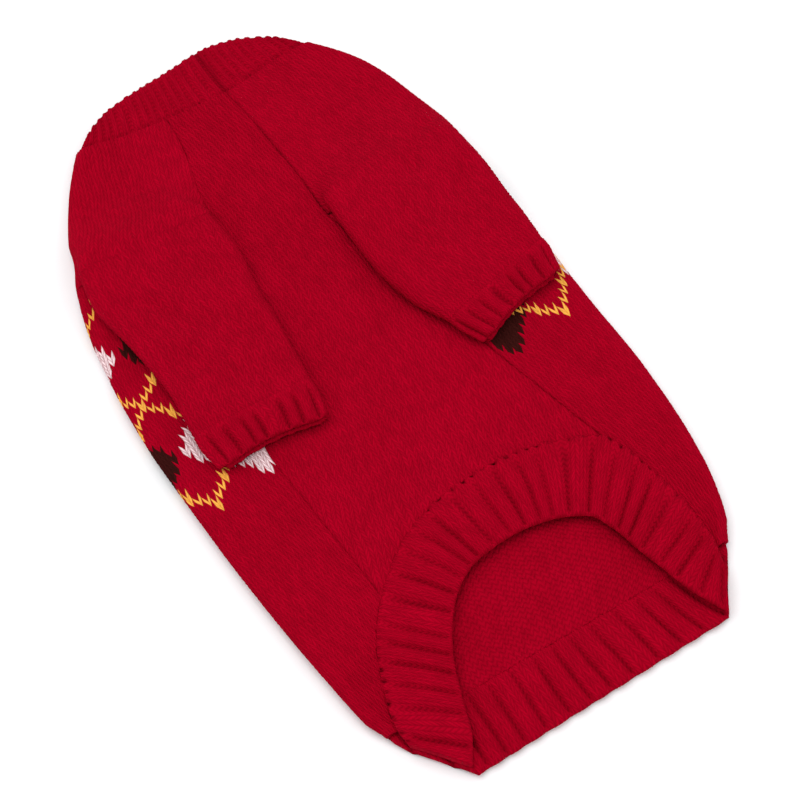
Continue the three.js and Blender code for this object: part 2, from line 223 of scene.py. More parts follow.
def archY(x):
    lineX, lineY = archLine["outX"], archLine["outY"]
    keep = (lineY > bandArch["topY"]) & (np.abs(lineX) < bandArch["topHalfWidth"])
    return np.interp(x, lineX[keep], lineY[keep])


def archRibs(t):  # ribs counted along the middle of the band
    dense = np.linspace(0, archLast, bandArch["ribSteps"])
    line = archAt(dense)
    middle = np.stack([line["outX"] + line["inX"], line["outY"] + line["inY"]], 1) / 2
    length = lineLength(middle)
    count = round(length[-1] / bandArch["pitch"])
    return np.interp(t, dense, length / length[-1] * count), count


unevenness = {
    # direction and length of each ripple
    "waves": ((0.9, 0.2, 31), (-0.35, 1.0, 43), (0.7, 0.8, 24), (-0.8, 0.55, 57), (0.15, -1, 19)),
    "phaseStep": 1.7,
    "wales": 0.09,
    "courses": 0.15,
    "creaseEnds": 0.8,  # power of the fade towards a crease's ends, below 1 for blunter ends
}


def strayRibs(ribs):  # ribs are never quite evenly wide
    return ribs + 0.14 * np.sin(ribs / 0.83 + 1) + 0.08 * np.sin(ribs / 0.41)


def puckers(x, y):  # gathers of the plain cloth where the ribs pull on it
    places = np.linspace(0, archLast, bandArch["puckerSteps"])
    line = archAt(places)
    phase = strayRibs(archRibs(places)[0]) * 4 * np.pi
    lift = np.zeros(x.shape)
    for i in np.flatnonzero(y.min(axis=1) < body["puckersBelow"]):
        away = np.hypot(x[i][:, None] - line["outX"], y[i][:, None] - line["outY"])
        nearest = away.argmin(axis=1)
        fade = np.exp(-away.min(axis=1) / body["puckerReach"])
        lift[i] = -body["puckerDepth"] * fade * (1 + np.cos(phase[nearest]))
    return lift


def flankEnd(y, side):  # the flank stops at the belly seam, and lower down at the band
    sign = sideSign[side]
    seam, band = seamX(y, side), archX(y, side)
    lower = np.where(sign * band > sign * seam, band, seam)
    return np.where(y > body["bandFromY"], seam, lower) - sign * knit["lap"]


def creaseLift(creases, x, y):
    lift = np.zeros(np.broadcast(x, y).shape)
    for startX, startY, endX, endY, bow, width, depth in creases:
        length = math.hypot(endX - startX, endY - startY)
        alongX, alongY = (endX - startX) / length, (endY - startY) / length
        t = ((x - startX) * alongX + (y - startY) * alongY) / length
        away = (y - startY) * alongX - (x - startX) * alongY - bow * 4 * t * (1 - t)
        fade = np.sin(np.pi * np.clip(t, 0, 1)) ** unevenness["creaseEnds"]
        lift += depth * fade * np.exp(-((away / width) ** 2))
    return lift


def ripple(x, y, size):  # slight unevenness of cloth that was handled and laid down
    total = 0
    for n, (waveX, waveY, length) in enumerate(unevenness["waves"]):
        phase = unevenness["phaseStep"] * n
        total = total + np.sin(2 * np.pi * (waveX * x + waveY * y) / length + phase)
    return size * total / len(unevenness["waves"])


def bodyLift(x, y):  # creases and ripples of the body's upper layer
    return creaseLift(body["creases"], x, y) + ripple(x, y, body["ripple"])


def uneven(x, y):  # wales and courses that the stitches stray from their even places
    wales = np.sin(x / 2.9 + 1.4 * np.sin(y / 5.3)) + np.sin(y / 3.7 + 1.1 * np.sin(x / 7.1) + 2)
    courses = np.sin(y / 3.1 + 1.2 * np.sin(x / 4.7)) + np.sin(x / 5.9 - y / 8.3 + 1)
    return unevenness["wales"] * wales, unevenness["courses"] * courses


# Stitches as relief, from 0 in the grooves to 1 on the strands. A lower power makes fuller strands.

stitchForm = {
    "legPower": 0.42,
    "legPowerInYarn": 0.36,
    "strandPower": 0.7,
    "betweenStrands": 0.3,  # height left between two strands of a leg
    "barWave": 0.3,  # how far a purl bar swings, in courses
    "barPower": 0.8,
    "betweenBars": 0.25,
    "barNotch": 0.2,
}


def knitRelief(wales, courses):
    form, side = stitchForm, np.abs(wales % 1 - 0.5) * 2
    strand = (courses - knit["legRise"] * side) % 1
    high = np.sin(np.pi * strand) ** form["strandPower"]
    between = form["betweenStrands"]
    return np.sin(np.pi * side) ** form["legPower"] * (between + (1 - between) * high)


def purlRelief(wales, courses):
    form = stitchForm
    arc = (courses + form["barWave"] * np.cos(2 * np.pi * wales)) % 1
    between, notch = form["betweenBars"], form["barNotch"]
    bar = between + (1 - between) * np.sin(np.pi * arc) ** form["barPower"]
    return bar * (1 - notch + notch * np.cos(4 * np.pi * wales))


def edgeDrop(distance, radius):  # rounds the outer face down to a free or a sewn edge
    near = np.clip(1 - distance / radius, 0, 1)
    return -radius * (1 - np.sqrt(1 - near**2))


# Cloth meshes: an outer and an inner skin on grids, closed round their edges

def gridNormals(points, ring=False):
    if ring:
        wrapped = np.concatenate([points[:, -2:-1], points, points[:, 1:2]], axis=1)
        across = np.gradient(wrapped, axis=1)[:, 1:-1]
    else:
        across = np.gradient(points, axis=1)
    normals = np.cross(across, np.gradient(points, axis=0))
    return normals / np.maximum(np.linalg.norm(normals, axis=2, keepdims=True), 1e-9)


def coordinates(points):  # views of a grid's x, y and z
    return points[:, :, 0], points[:, :, 1], points[:, :, 2]


def runningLength(points, axis):  # along the rows (axis 1) or the columns (axis 0) of a grid
    steps = np.linalg.norm(np.diff(points, axis=axis), axis=2)
    return np.cumsum(np.insert(steps, 0, 0, axis=axis), axis=axis)


def coarser(count, step, special=()):  # every few rows or columns, the last one too
    return np.unique(np.concatenate([np.arange(0, count, step), [count - 1], special]).astype(int))


def newCloth():
    # the list after purl holds painted shade: how much the yarn's colour is darkened in grooves, seams
    # and eyelets
    return {"points": [], "stitches": [], "purl": [], "paintedShade": [], "faces": [], "count": 0}


def addSkin(cloth, points, wales, courses, purl=0, paintedShade=0, blocks=None):
    rows, columns = points.shape[:2]
    ids = cloth["count"] + np.arange(rows * columns).reshape(rows, columns)
    cloth["count"] += rows * columns
    full = np.zeros((rows, columns))
    cloth["points"].append(points.reshape(-1, 3))
    cloth["stitches"].append(np.stack([wales + full, courses + full], 2).reshape(-1, 2))
    cloth["purl"].append((purl + full).ravel())
    cloth["paintedShade"].append((paintedShade + full).ravel())
    for rowFrom, rowTo, columnFrom, columnTo in blocks or [(0, rows - 1, 0, columns - 1)]:
        part = ids[rowFrom:rowTo + 1, columnFrom:columnTo + 1]
        quads = np.stack([part[:-1, :-1], part[:-1, 1:], part[1:, 1:], part[1:, :-1]], -1)
        cloth["faces"].extend(quads.reshape(-1, 4).tolist())
    return ids


def closeEdge(cloth, outer, inner):  # triangles between two edges that have any counts
    points = np.concatenate(cloth["points"])
    shares = []
    for ids in (outer, inner):
        steps = np.linalg.norm(np.diff(points[ids], axis=0), axis=1)
        running = np.insert(np.cumsum(steps), 0, 0) / max(steps.sum(), 1e-9)
        shares.append(np.append(running, np.inf))
    a = b = 0
    while a < len(outer) - 1 or b < len(inner) - 1:
        if shares[0][a + 1] <= shares[1][b + 1]:
            cloth["faces"].append([int(outer[a]), int(outer[a + 1]), int(inner[b])])
            a += 1
        else:
            cloth["faces"].append([int(outer[a]), int(inner[b + 1]), int(inner[b])])
            b += 1


def closeGrid(cloth, outer, inner, ring=False):  # all four edges, or a tube's two ends
    runs = [(0, slice(None)), (-1, slice(None))]
    if not ring:
        runs += [(slice(None), 0), (slice(None), -1)]
    for run in runs:
        closeEdge(cloth, outer[run], inner[run])


def finishCloth(cloth, name, material):
    points = np.concatenate(cloth["points"])
    stitches = np.concatenate(cloth["stitches"])
    used = np.unique(np.concatenate([np.array(face) for face in cloth["faces"]]))
    newIds = np.full(len(points), -1)
    newIds[used] = np.arange(len(used))
    mesh = bpy.data.meshes.new(name)
    placed = (points[used] + garmentShift) * millimetre
    mesh.from_pydata(placed.tolist(), [], [newIds[face].tolist() for face in cloth["faces"]])
    corners = np.empty(len(mesh.loops), np.int32)
    mesh.loops.foreach_get("vertex_index", corners)
    layer = mesh.uv_layers.new(name="stitches")
    layer.data.foreach_set("uv", stitches[used][corners].astype(np.float32).ravel())
    # the second attribute is painted shade, read by the yarn's material
    for attribute in ("purl", "paintedShade"):
        values = np.concatenate(cloth[attribute])[used].astype(np.float32)
        mesh.attributes.new(attribute, "FLOAT", "POINT").data.foreach_set("value", values)
    shape = bmesh.new()
    shape.from_mesh(mesh)
    bmesh.ops.remove_doubles(shape, verts=shape.verts, dist=1e-6)
    bmesh.ops.recalc_face_normals(shape, faces=shape.faces)
    if shape.calc_volume(signed=True) < 0:
        bmesh.ops.reverse_faces(shape, faces=shape.faces)
    triangles = sum(len(face.verts) - 2 for face in shape.faces)
    openEdges = sum(1 for rim in shape.edges if not rim.is_manifold)
    shape.to_mesh(mesh)
    shape.free()
    mesh.polygons.foreach_set("use_smooth", np.ones(len(mesh.polygons), bool))
    mesh.materials.append(material)
    piece = bpy.data.objects.new(name, mesh)
    bpy.context.scene.collection.objects.link(piece)
    print(name, "has", triangles, "triangles and", openEdges, "open edges")
    return piece


def declare(piece, node):  # puts the piece under the root body and hides its CAD part
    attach(piece, "root")
    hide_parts(node)


# Where the garment's own frame lies in the part's frame

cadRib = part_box("back_hem_rib")[0]
garmentShift = np.array([
    cadRib.x / millimetre - body["hemRibX"],
    cadRib.y / millimetre - body["hemEdgeY"],
    0,
])


# Yarns

yarns = {
    "red": "#AC0021",
    "redDeep": "#9A001A",
    "white": "#F7DEE1",
    "redBetween": 0.6,  # how much red shows between the white strands
    "brown": "#34120F",
    "orange": "#FAB14C",
    "roughness": 0.9,
    "sheen": 0.12,
    "sheenRoughness": 0.5,
    "sheenTint": "#E00038",
    "specular": 0.02,
    "bumpStrength": 0.5,
    "bumpDistance": 0.0006,
    "fibres": {"Scale": 2600, "Detail": 3, "Roughness": 0.7},
    "dye": {"Scale": 55, "Detail": 3},
    "shadeKnit": 0.38,  # how much painted shade darkens it between the strands, on either side of the cloth
    "shadePurl": 0.2,
    "darkest": 0.1,
    "plainLight": 0.63,  # light of a stitch, and what chance and the fibres add to it
    "stitchLight": 0.2,
    "fibreLight": 0.5,
    "fibreHeight": 0.35,
}
diamonds = {  # a diamond is this many stitches from its middle to its tip
    "halfWales": 9,
    "halfCourses": 12,
    "course": 2.28,
    "lineHalfWidth": 0.7,
    "middleY": -11.2,  # height of the lower row of diamonds
    "blockMiddle": 12,  # course in the middle of the block's height
    "lineReach": 24.6,
    "diamondReach": 23.6,
    "lastWale": 92.5,
    "walesBetween": 90,
    "flankTightness": 0.1,
    # middle lines of the two flanks' diamonds, and how far courses rise or sink off the level
    "middleLineY": (-180, -152, -110, -80, -42, -10, 18, 47, 84),
    "leftMiddleX": (-38, -39.7, -47, -52.5, -59, -62.3, -65.3, -63, -60),
    "rightMiddleX": (68, 68, 67, 62, 56.4, 51.4, 46, 40, 37),
    "shiftWales": (-6, 0, 9, 20, 45, 64, 73, 78, 81, 90, 97),
    "shift": (3.2, 2, -0.4, -1.5, 0.5, 5, 12, 9, 5.1, -2.6, -7.5),
}


def linear(hexColour):
    values = [int(hexColour[i:i + 2], 16) / 255 for i in (1, 3, 5)]
    return [v / 12.92 if v <= 0.04045 else ((v + 0.055) / 1.055) ** 2.4 for v in values] + [1]


def add(tree, kind, inputs=(), output=0, **settings):  # a node; gives its output socket
    made = tree.nodes.new("ShaderNode" + kind)
    for name, value in settings.items():
        setattr(made, name, value)
    for socket, value in inputs.items() if isinstance(inputs, dict) else enumerate(inputs):
        if isinstance(value, bpy.types.NodeSocket):
            tree.links.new(value, made.inputs[socket])
        else:
            made.inputs[socket].default_value = value
    return made.outputs[output]


def hump(tree, value, turn, power):  # a power of the sine of a value times a turn
    angle = add(tree, "Math", [value, turn], operation="MULTIPLY")
    wave = add(tree, "Math", [angle], operation="SINE")
    return add(tree, "Math", [wave, power], operation="POWER")


# Argyle, charted stitch by stitch: white and brown diamonds in turn, crossed by orange lines.
def argyleColour(tree, wales, strandPlace, ground, low):
    across = add(tree, "Math", [wales], operation="FLOOR")
    course = add(tree, "Math", [strandPlace], operation="FLOOR")
    up = add(tree, "Math", [course, 0.5], operation="ADD")
    acrossShare = add(tree, "Math", [across, diamonds["halfWales"]], operation="DIVIDE")
    upShare = add(tree, "Math", [up, diamonds["halfCourses"]], operation="DIVIDE")
    cells = []
    onLine = []
    for operation in ("SUBTRACT", "ADD"):
        place = add(tree, "Math", [acrossShare, upShare], operation=operation)
        half = add(tree, "Math", [place, 0.5], operation="MULTIPLY")
        cell = add(tree, "Math", [half], operation="ROUND")
        fromMiddle = add(tree, "Math", [cell, -2, place], operation="MULTIPLY_ADD")
        off = add(tree, "Math", [fromMiddle], operation="ABSOLUTE")
        reach = diamonds["lineHalfWidth"] / diamonds["halfCourses"]
        cells.append(cell)
        onLine.append(add(tree, "Math", [off, reach], operation="LESS_THAN"))
    line = add(tree, "Math", onLine, operation="MAXIMUM")
    cellSum = add(tree, "Math", cells, operation="ADD")
    odd = add(tree, "Math", [cellSum, 2], operation="FLOORED_MODULO")
    isDiamond = add(tree, "Math", [odd, 0.5], operation="LESS_THAN")
    turn = add(tree, "Math", [cells[1], 2], operation="FLOORED_MODULO")
    isBrown = add(tree, "Math", [turn, 0.5], operation="GREATER_THAN")
    fromBlock = add(tree, "Math", [up, diamonds["blockMiddle"]], operation="SUBTRACT")
    reached = add(tree, "Math", [fromBlock], operation="ABSOLUTE")
    inBlock = add(tree, "Math", [reached, diamonds["lineReach"]], operation="LESS_THAN")
    onPanel = add(tree, "Math", [across, diamonds["lastWale"]], operation="LESS_THAN")
    inside = add(tree, "Math", [inBlock, onPanel], operation="MULTIPLY")
    whole = add(tree, "Math", [reached, diamonds["diamondReach"]], operation="LESS_THAN")
    isFilled = add(tree, "Math", [isDiamond, whole], operation="MULTIPLY")
    between = add(tree, "Math", [low, yarns["redBetween"]], operation="MULTIPLY")
    white = add(tree, "Mix", {0: between, 6: linear(yarns["white"]), 7: ground}, 2,
                data_type="RGBA")
    yarn = add(tree, "Mix", {0: isBrown, 6: white, 7: linear(yarns["brown"])}, 2,
               data_type="RGBA")
    inDiamond = add(tree, "Math", [isFilled, inside], operation="MULTIPLY")
    withDiamonds = add(tree, "Mix", {0: inDiamond, 6: ground, 7: yarn}, 2, data_type="RGBA")
    inLine = add(tree, "Math", [line, inside], operation="MULTIPLY")
    return add(tree, "Mix", {0: inLine, 6: withDiamonds, 7: linear(yarns["orange"])}, 2,
               data_type="RGBA")


# Acrylic yarn, spun and knitted: dull, with a soft bright fuzz where the cloth turns away,
# and painted shade that darkens its colour between the strands, in seams, grooves and eyelets.
def knittedYarn(name, argyle=False):
    material = bpy.data.materials.new(name)
    material.use_nodes = True
    tree = material.node_tree
    shader = tree.nodes["Principled BSDF"]
    uv = add(tree, "UVMap", uv_map="stitches")
    split = add(tree, "SeparateXYZ", [uv]).node
    wales, courses = split.outputs[0], split.outputs[1]
    purl = add(tree, "Attribute", output=2, attribute_name="purl")
    # painted shade of grooves, seams and eyelets, as the pieces give it
    paintedShade = add(tree, "Attribute", output=2, attribute_name="paintedShade")
    place = add(tree, "TexCoord", output=3)

    # the V of a plain stitch
    inWale = add(tree, "Math", [wales], operation="FRACT")
    offMiddle = add(tree, "Math", [inWale, 0.5], operation="SUBTRACT")
    halfSide = add(tree, "Math", [offMiddle], operation="ABSOLUTE")
    climb = add(tree, "Math", [halfSide, -2 * knit["legRise"], courses], operation="MULTIPLY_ADD")
    strand = add(tree, "Math", [climb], operation="FRACT")
    strandHigh = hump(tree, strand, math.pi, stitchForm["strandPower"])
    legHigh = hump(tree, halfSide, 2 * math.pi, stitchForm["legPowerInYarn"])
    between = stitchForm["betweenStrands"]
    strandPart = add(tree, "Math", [strandHigh, 1 - between, between], operation="MULTIPLY_ADD")
    knitHigh = add(tree, "Math", [legHigh, strandPart], operation="MULTIPLY")

    # the wavy bars of the wrong side
    waleTurn = add(tree, "Math", [wales, 2 * math.pi], operation="MULTIPLY")
    waleWave = add(tree, "Math", [waleTurn], operation="COSINE")
    swing = stitchForm["barWave"]
    barPlace = add(tree, "Math", [waleWave, swing, courses], operation="MULTIPLY_ADD")
    bar = add(tree, "Math", [barPlace], operation="FRACT")
    purlHigh = hump(tree, bar, math.pi, stitchForm["barPower"])
    high = add(tree, "Mix", {0: purl, 2: knitHigh, 3: purlHigh}, data_type="FLOAT")

    # loose fibres about 0.4 mm apart, and slow differences in the dye
    fibres = add(tree, "TexNoise", {"Vector": place, **yarns["fibres"]})
    patches = add(tree, "TexNoise", {"Vector": place, **yarns["dye"]})
    colour = add(tree, "Mix", {0: patches, 6: linear(yarns["redDeep"]), 7: linear(yarns["red"])}, 2,
                 data_type="RGBA")
    low = add(tree, "Math", [1, high], operation="SUBTRACT")
    if argyle:
        colour = argyleColour(tree, wales, climb, colour, low)
    lowShare = add(tree, "Mix", {0: purl, 2: yarns["shadeKnit"], 3: yarns["shadePurl"]},
                   data_type="FLOAT")
    # painted shade: the colour grows darker between the strands and where the pieces give painted shade
    depth = add(tree, "Math", [low, lowShare, paintedShade], operation="MULTIPLY_ADD")
    light = add(tree, "Math", [1, depth], operation="SUBTRACT")
    lightest = add(tree, "Math", [light, yarns["darkest"]], operation="MAXIMUM")
    stitchRow = add(tree, "Math", [climb], operation="FLOOR")
    halfWale = add(tree, "Math", [wales, 2], operation="MULTIPLY")
    leg = add(tree, "Math", [halfWale], operation="FLOOR")
    stitch = add(tree, "CombineXYZ", [leg, stitchRow])
    chance = add(tree, "TexWhiteNoise", {"Vector": stitch})
    stitchLight = add(tree, "Math", [chance, yarns["stitchLight"], yarns["plainLight"]],
                      operation="MULTIPLY_ADD")
    fibreLight = add(tree, "Math", [fibres, yarns["fibreLight"], stitchLight],
                     operation="MULTIPLY_ADD")
    shade = add(tree, "Math", [lightest, fibreLight], operation="MULTIPLY")
    shaded = add(tree, "VectorMath", {0: colour, "Scale": shade}, operation="SCALE")
    tree.links.new(shaded, shader.inputs["Base Color"])
    height = add(tree, "Math", [fibres, yarns["fibreHeight"], high], operation="MULTIPLY_ADD")
    bump = add(tree, "Bump", {"Height": height, "Strength": yarns["bumpStrength"],
                              "Distance": yarns["bumpDistance"]})
    tree.links.new(bump, shader.inputs["Normal"])
    shader.inputs["Roughness"].default_value = yarns["roughness"]
    shader.inputs["Sheen Weight"].default_value = yarns["sheen"]
    shader.inputs["Sheen Roughness"].default_value = yarns["sheenRoughness"]
    shader.inputs["Sheen Tint"].default_value = linear(yarns["sheenTint"])
    shader.inputs["Specular IOR Level"].default_value = yarns["specular"]
    return material


redJersey = knittedYarn("acrylic_yarn_plain_knit")
argyleJersey = knittedYarn("acrylic_yarn_argyle_knit", argyle=True)
redRib = knittedYarn("acrylic_yarn_rib_knit")
print("yarns ready")


# Back panel: under layer, both side folds and the flanks on the upper layer

backPanel = {
    "outer": {"left": 76, "fold": 34, "beside": 2, "under": 22, "right": 86},
    "inner": {"left": 12, "fold": 6, "beside": 2, "under": 110, "right": 14},
    "raglanInset": 12,
    "neckHalfWidth": 38,
    "underRipple": 0.5,
    "pullLength": 9,  # how far above the hem's seam its corners are pulled in, and let down
    "dropLength": 16,
    "seamRadius": 1,
    # painted shade along the flanks' seams with the belly, and its width
    "seamShade": 0.12,
    "seamShadeWidth": 0.8,
    "insideShade": 0.1,
    # rows from the hem's seam to the neck: how far up, and how far apart
    "hemRows": (2, 0.4),
    "shownRows": (30, 0.78),
    "coveredStep": 1.2,
    "underStep": 3,
    "innerHemRows": (-98, 0.8),
    "innerStep": 4,
    "flat": (0.302, 0.303),
    "area": 0.0713,
}


def backRaglan(y, side):
    top, under = body["neckSeamY"], body["underarmY"][side]
    reach = abs(float(edge(under, side))) - backPanel["raglanInset"]
    share = np.clip((top - y) / (top - under), 0, 1)
    half = backPanel["neckHalfWidth"]
    return sideSign[side] * (half + (reach - half) * share)


def backGrid(heights, counts):
    y = np.asarray(heights, float)[:, None]
    fold, tall = bodyFold(y), body["height"]
    runs = {}
    for side in sideSign:
        sign = sideSign[side]
        low = smooth(1 - (y - body["hemSeamY"]) / backPanel["pullLength"])
        centre = edge(y, side) - sign * (fold + body["cornerPull"] * low)
        turn = np.linspace(math.pi / 2, -math.pi / 2, counts["fold"] + 1)
        across = np.linspace(0, 1, counts[side] + 1)
        beside = np.linspace(0, 1, counts["beside"] + 1)
        end = flankEnd(y, side)
        reach = np.minimum(np.abs(backRaglan(y, side)) - knit["gap"] / 2, np.abs(centre) - 2)
        raglan = sign * reach
        x = runOn(end + (centre - end) * across, centre + sign * fold * np.cos(turn),
                  centre + (raglan - centre) * beside)
        z = runOn(tall + 0 * across, tall / 2 * (1 + np.sin(turn)), 0 * beside) + 0 * y
        runs[side] = x, z
    leftEnd, rightEnd = runs["left"][0][:, -1:], runs["right"][0][:, -1:]
    under = leftEnd + (rightEnd - leftEnd) * np.linspace(0, 1, counts["under"] + 1)
    x = runOn(runs["left"][0], under, runs["right"][0][:, ::-1])
    z = runOn(runs["left"][1], 0 * under, runs["right"][1][:, ::-1])
    joints = np.cumsum([0, counts["left"], counts["fold"], counts["beside"], counts["under"],
                        counts["beside"], counts["fold"], counts["right"]])
    z = z * (1 - body["cornerDrop"] * smooth(1 - (y - body["hemSeamY"]) / backPanel["dropLength"]))
    yFull = y + 0 * x
    return np.stack([x, yFull + neckShift(yFull, x), z], 2), joints


def backStitches(points, joints, heights):  # wales are counted from the left middle line
    flat = points * np.array([1, 0, 1])
    x = points[:, :, 0]
    along = runningLength(flat, 1)
    leftBend, underFrom, rightBend = joints[1], joints[3], joints[6]
    along = along - (along[:, underFrom] - x[:, underFrom])[:, None]
    leftMiddle = curve(diamonds["middleLineY"], diamonds["leftMiddleX"], heights)
    rightMiddle = curve(diamonds["middleLineY"], diamonds["rightMiddleX"], heights)
    leftEnd = along[:, leftBend] - (leftMiddle - x[:, leftBend])
    rightEnd = along[:, rightBend] + (x[:, rightBend] - rightMiddle)
    share = (along - leftEnd[:, None]) / (rightEnd - leftEnd)[:, None]
    tightness = diamonds["flankTightness"] * (1 - share)
    share = share + tightness * np.sin(2 * np.pi * share) / (2 * np.pi)
    wales = share * diamonds["walesBetween"]
    shift = curve(diamonds["shiftWales"], diamonds["shift"], wales)
    courses = (heights[:, None] - diamonds["middleY"] - shift) / diamonds["course"]
    strayWales, strayCourses = uneven(along, points[:, :, 1])
    return wales + 0.5 + strayWales, courses + strayCourses


def backSkin(cloth, heights, counts, isInner):
    points, joints = backGrid(heights, counts)
    wales, courses = backStitches(points, joints, heights)
    normals = -gridNormals(points)
    x, y, z = coordinates(points)
    upper = smooth((z - 4.5) / 4)  # 1 on the upper layer, 0 on the one below
    toSeam = np.where(x < 0, flankEnd(y, "left") - x, x - flankEnd(y, "right"))
    toSeam = np.where(upper > 0.5, np.maximum(toSeam, 0), farAway)
    if isInner:
        sink = knit["jersey"] - (purlRelief(wales, courses) - 1) * knit["purlDepth"]
        paintedShade = backPanel["insideShade"]
    else:
        sink = (1 - knitRelief(wales, courses)) * knit["knitDepth"] * smooth(z / 3 + 0.2)
        sink = sink - edgeDrop(toSeam, backPanel["seamRadius"])
        # painted shade along the seam
        paintedShade = backPanel["seamShade"] * np.exp(-((toSeam / backPanel["seamShadeWidth"]) ** 2))
    points = points - normals * sink[:, :, None]
    lift = bodyLift(x, y)
    if not isInner:
        lift = lift + puckers(x, y)
    points[:, :, 2] += upper * lift
    points[:, :, 2] += (1 - upper) * backPanel["underRipple"] * (1 + ripple(x, y, 1)) / 2
    rightArm, leftArm = [int(np.argmin(abs(heights - body["underarmY"][side] - body["armRise"])))
                         for side in ("right", "left")]
    last, underFrom, underTo = len(heights) - 1, joints[3], joints[4]
    blocks = [(0, rightArm, 0, joints[7]), (rightArm, leftArm, 0, underTo),
              (leftArm, last, underFrom, underTo)]
    ids = addSkin(cloth, points, wales, courses, float(isInner), paintedShade, blocks)
    return [ids[0], ids[:leftArm + 1, 0], ids[leftArm, :underFrom + 1], ids[leftArm:, underFrom],
            ids[-1, underFrom:underTo + 1], ids[rightArm:, underTo],
            ids[rightArm, underTo:], ids[:rightArm + 1, -1]]


def makeBack():
    lowest, highest = body["hemSeamY"] - knit["lap"], body["neckSeamY"] + knit["lap"]
    rightArm, leftArm = [body["underarmY"][side] + body["armRise"] for side in ("right", "left")]
    hemRows, hemStep = backPanel["hemRows"]
    shownTop, shownStep = backPanel["shownRows"]
    covered, step = backPanel["coveredStep"], backPanel["innerStep"]
    fine = runOn(spread(lowest, lowest + hemRows, hemStep),
                 spread(lowest + hemRows, shownTop, shownStep), spread(shownTop, rightArm, covered),
                 spread(rightArm, leftArm, covered), spread(leftArm, highest, backPanel["underStep"]))
    innerTop, innerHemStep = backPanel["innerHemRows"]
    coarse = runOn(spread(lowest, innerTop, innerHemStep), spread(innerTop, rightArm, step),
                   spread(rightArm, leftArm, step), spread(leftArm, highest, step))
    cloth = newCloth()
    outer = backSkin(cloth, fine, backPanel["outer"], False)
    inner = backSkin(cloth, coarse, backPanel["inner"], True)
    for outerEdge, innerEdge in zip(outer, inner):
        closeEdge(cloth, outerEdge, innerEdge)
    return finishCloth(cloth, "back_and_flanks", argyleJersey)


declare(makeBack(), "back_panel")
print("back panel knitted")


# Belly panel

bellyPanel = {
    "columns": 150,
    "rowStep": 0.62,
    "innerColumns": 28,
    "innerStep": 5,
    "fanFrom": -60,
    "fanLength": 26,
    "startY": -90,  # first guess of the lower edge's height
    "rounds": 40,
    # painted shade along the belly's seams, and its width
    "seamShade": 0.08,
    "seamShadeWidth": 0.9,
    "raglanReach": 10,  # the seams' painted shade turns to the raglan's within this reach of the underarms
    "neckRadius": 0.6,
    "waleY": (150, 110, 61, 29, -15, -37, -58, -79, -110),
    "waleX": (-10, -2, 4, 6, 5, 4, 2, -1.5, -8),
    "flat": (0.112, 0.250),
    "area": 0.0173,
}


def bellyGrid(rowStep, columns):
    top = body["neckSeamY"] + knit["lap"]
    share = np.linspace(0, 1, columns + 1)[None, :]

    def across(y):
        left = seamX(y, "left") - knit["lap"]
        return left + (seamX(y, "right") + knit["lap"] - left) * share

    low = np.full(share.shape, float(bellyPanel["startY"]))
    for _ in range(bellyPanel["rounds"]):
        low = 0.5 * low + 0.5 * (archY(across(low)) - knit["lap"])
    straight = spread(top, bellyPanel["fanFrom"], rowStep)[:, None] + 0 * share
    fan = spread(0, 1, rowStep / bellyPanel["fanLength"])[1:, None]
    y = np.concatenate([straight, bellyPanel["fanFrom"] + (low - bellyPanel["fanFrom"]) * fan])
    x = across(y)
    return np.stack([x, y + neckShift(y, x), 0 * x + body["height"]], 2)


def leaningStitches(x, y, middleX, slope):  # wales follow a slightly bent middle line
    lean = 1 / np.sqrt(1 + slope**2)
    strayWales, strayCourses = uneven(x, y)
    wales = (x - middleX) * lean / knit["wale"] + 0.5 + strayWales
    return wales, (y + (x - middleX) * slope) / knit["course"] + strayCourses


def bellySkin(cloth, rowStep, columns, isInner):
    points = bellyGrid(rowStep, columns)
    x, y = points[:, :, 0], points[:, :, 1]
    middle = curve(bellyPanel["waleY"], bellyPanel["waleX"], y)
    slope = curve(bellyPanel["waleY"], bellyPanel["waleX"], y + 1) - middle
    wales, courses = leaningStitches(x, y, middle, slope)
    lift = bodyLift(x, y)
    down = runningLength(points, 0)
    drop, paintedSeamShade = edgeDrop(down, bellyPanel["neckRadius"]), 0
    for side, toSeam in (("left", x - seamX(y, "left")), ("right", seamX(y, "right") - x)):
        toSeam = np.maximum(toSeam + knit["lap"], 0)
        drop = np.minimum(drop, edgeDrop(toSeam, body["seamRadius"][side]))
        reach = bellyPanel["raglanReach"]
        raglan = smooth((y - body["underarmY"][side] + reach) / (2 * reach))
        seamShade = bellyPanel["seamShade"] + (body["seamShade"][side] - bellyPanel["seamShade"]) * raglan
        # painted shade along the seams, turning from the belly seams' to the raglans' near the underarms
        paintedSeamShade = np.maximum(paintedSeamShade, seamShade * np.exp(-((toSeam / bellyPanel["seamShadeWidth"]) ** 2)))
    if isInner:
        points[:, :, 2] += lift - knit["jersey"]
        return addSkin(cloth, points, wales, courses, 1)
    relief = (knitRelief(wales, courses) - 1) * knit["knitDepth"] + drop
    points[:, :, 2] += lift + relief + puckers(x, y)
    return addSkin(cloth, points, wales, courses, 0, paintedSeamShade)


def makeBelly():
    cloth = newCloth()
    outer = bellySkin(cloth, bellyPanel["rowStep"], bellyPanel["columns"], False)
    inner = bellySkin(cloth, bellyPanel["innerStep"], bellyPanel["innerColumns"], True)
    closeGrid(cloth, outer, inner)
    return finishCloth(cloth, "belly_plain_knit", redJersey)


declare(makeBelly(), "belly_panel")
print("belly panel knitted")


# Ribs: raised runs of two knit wales between valleys of two purl ones

ribForm = {
    "padPower": 0.7,
    "dipPower": 0.8,
    "dip": 0.4,  # shares of the valley's depth that its whole width and its narrow groove take
    "groove": 0.9,
    "groovePlace": 0.62,
    "grooveWidth": 0.26,
    "purlEdge": 0.2,
    "fullGroove": 1.2,  # depth of a valley whose groove is quite dark
}


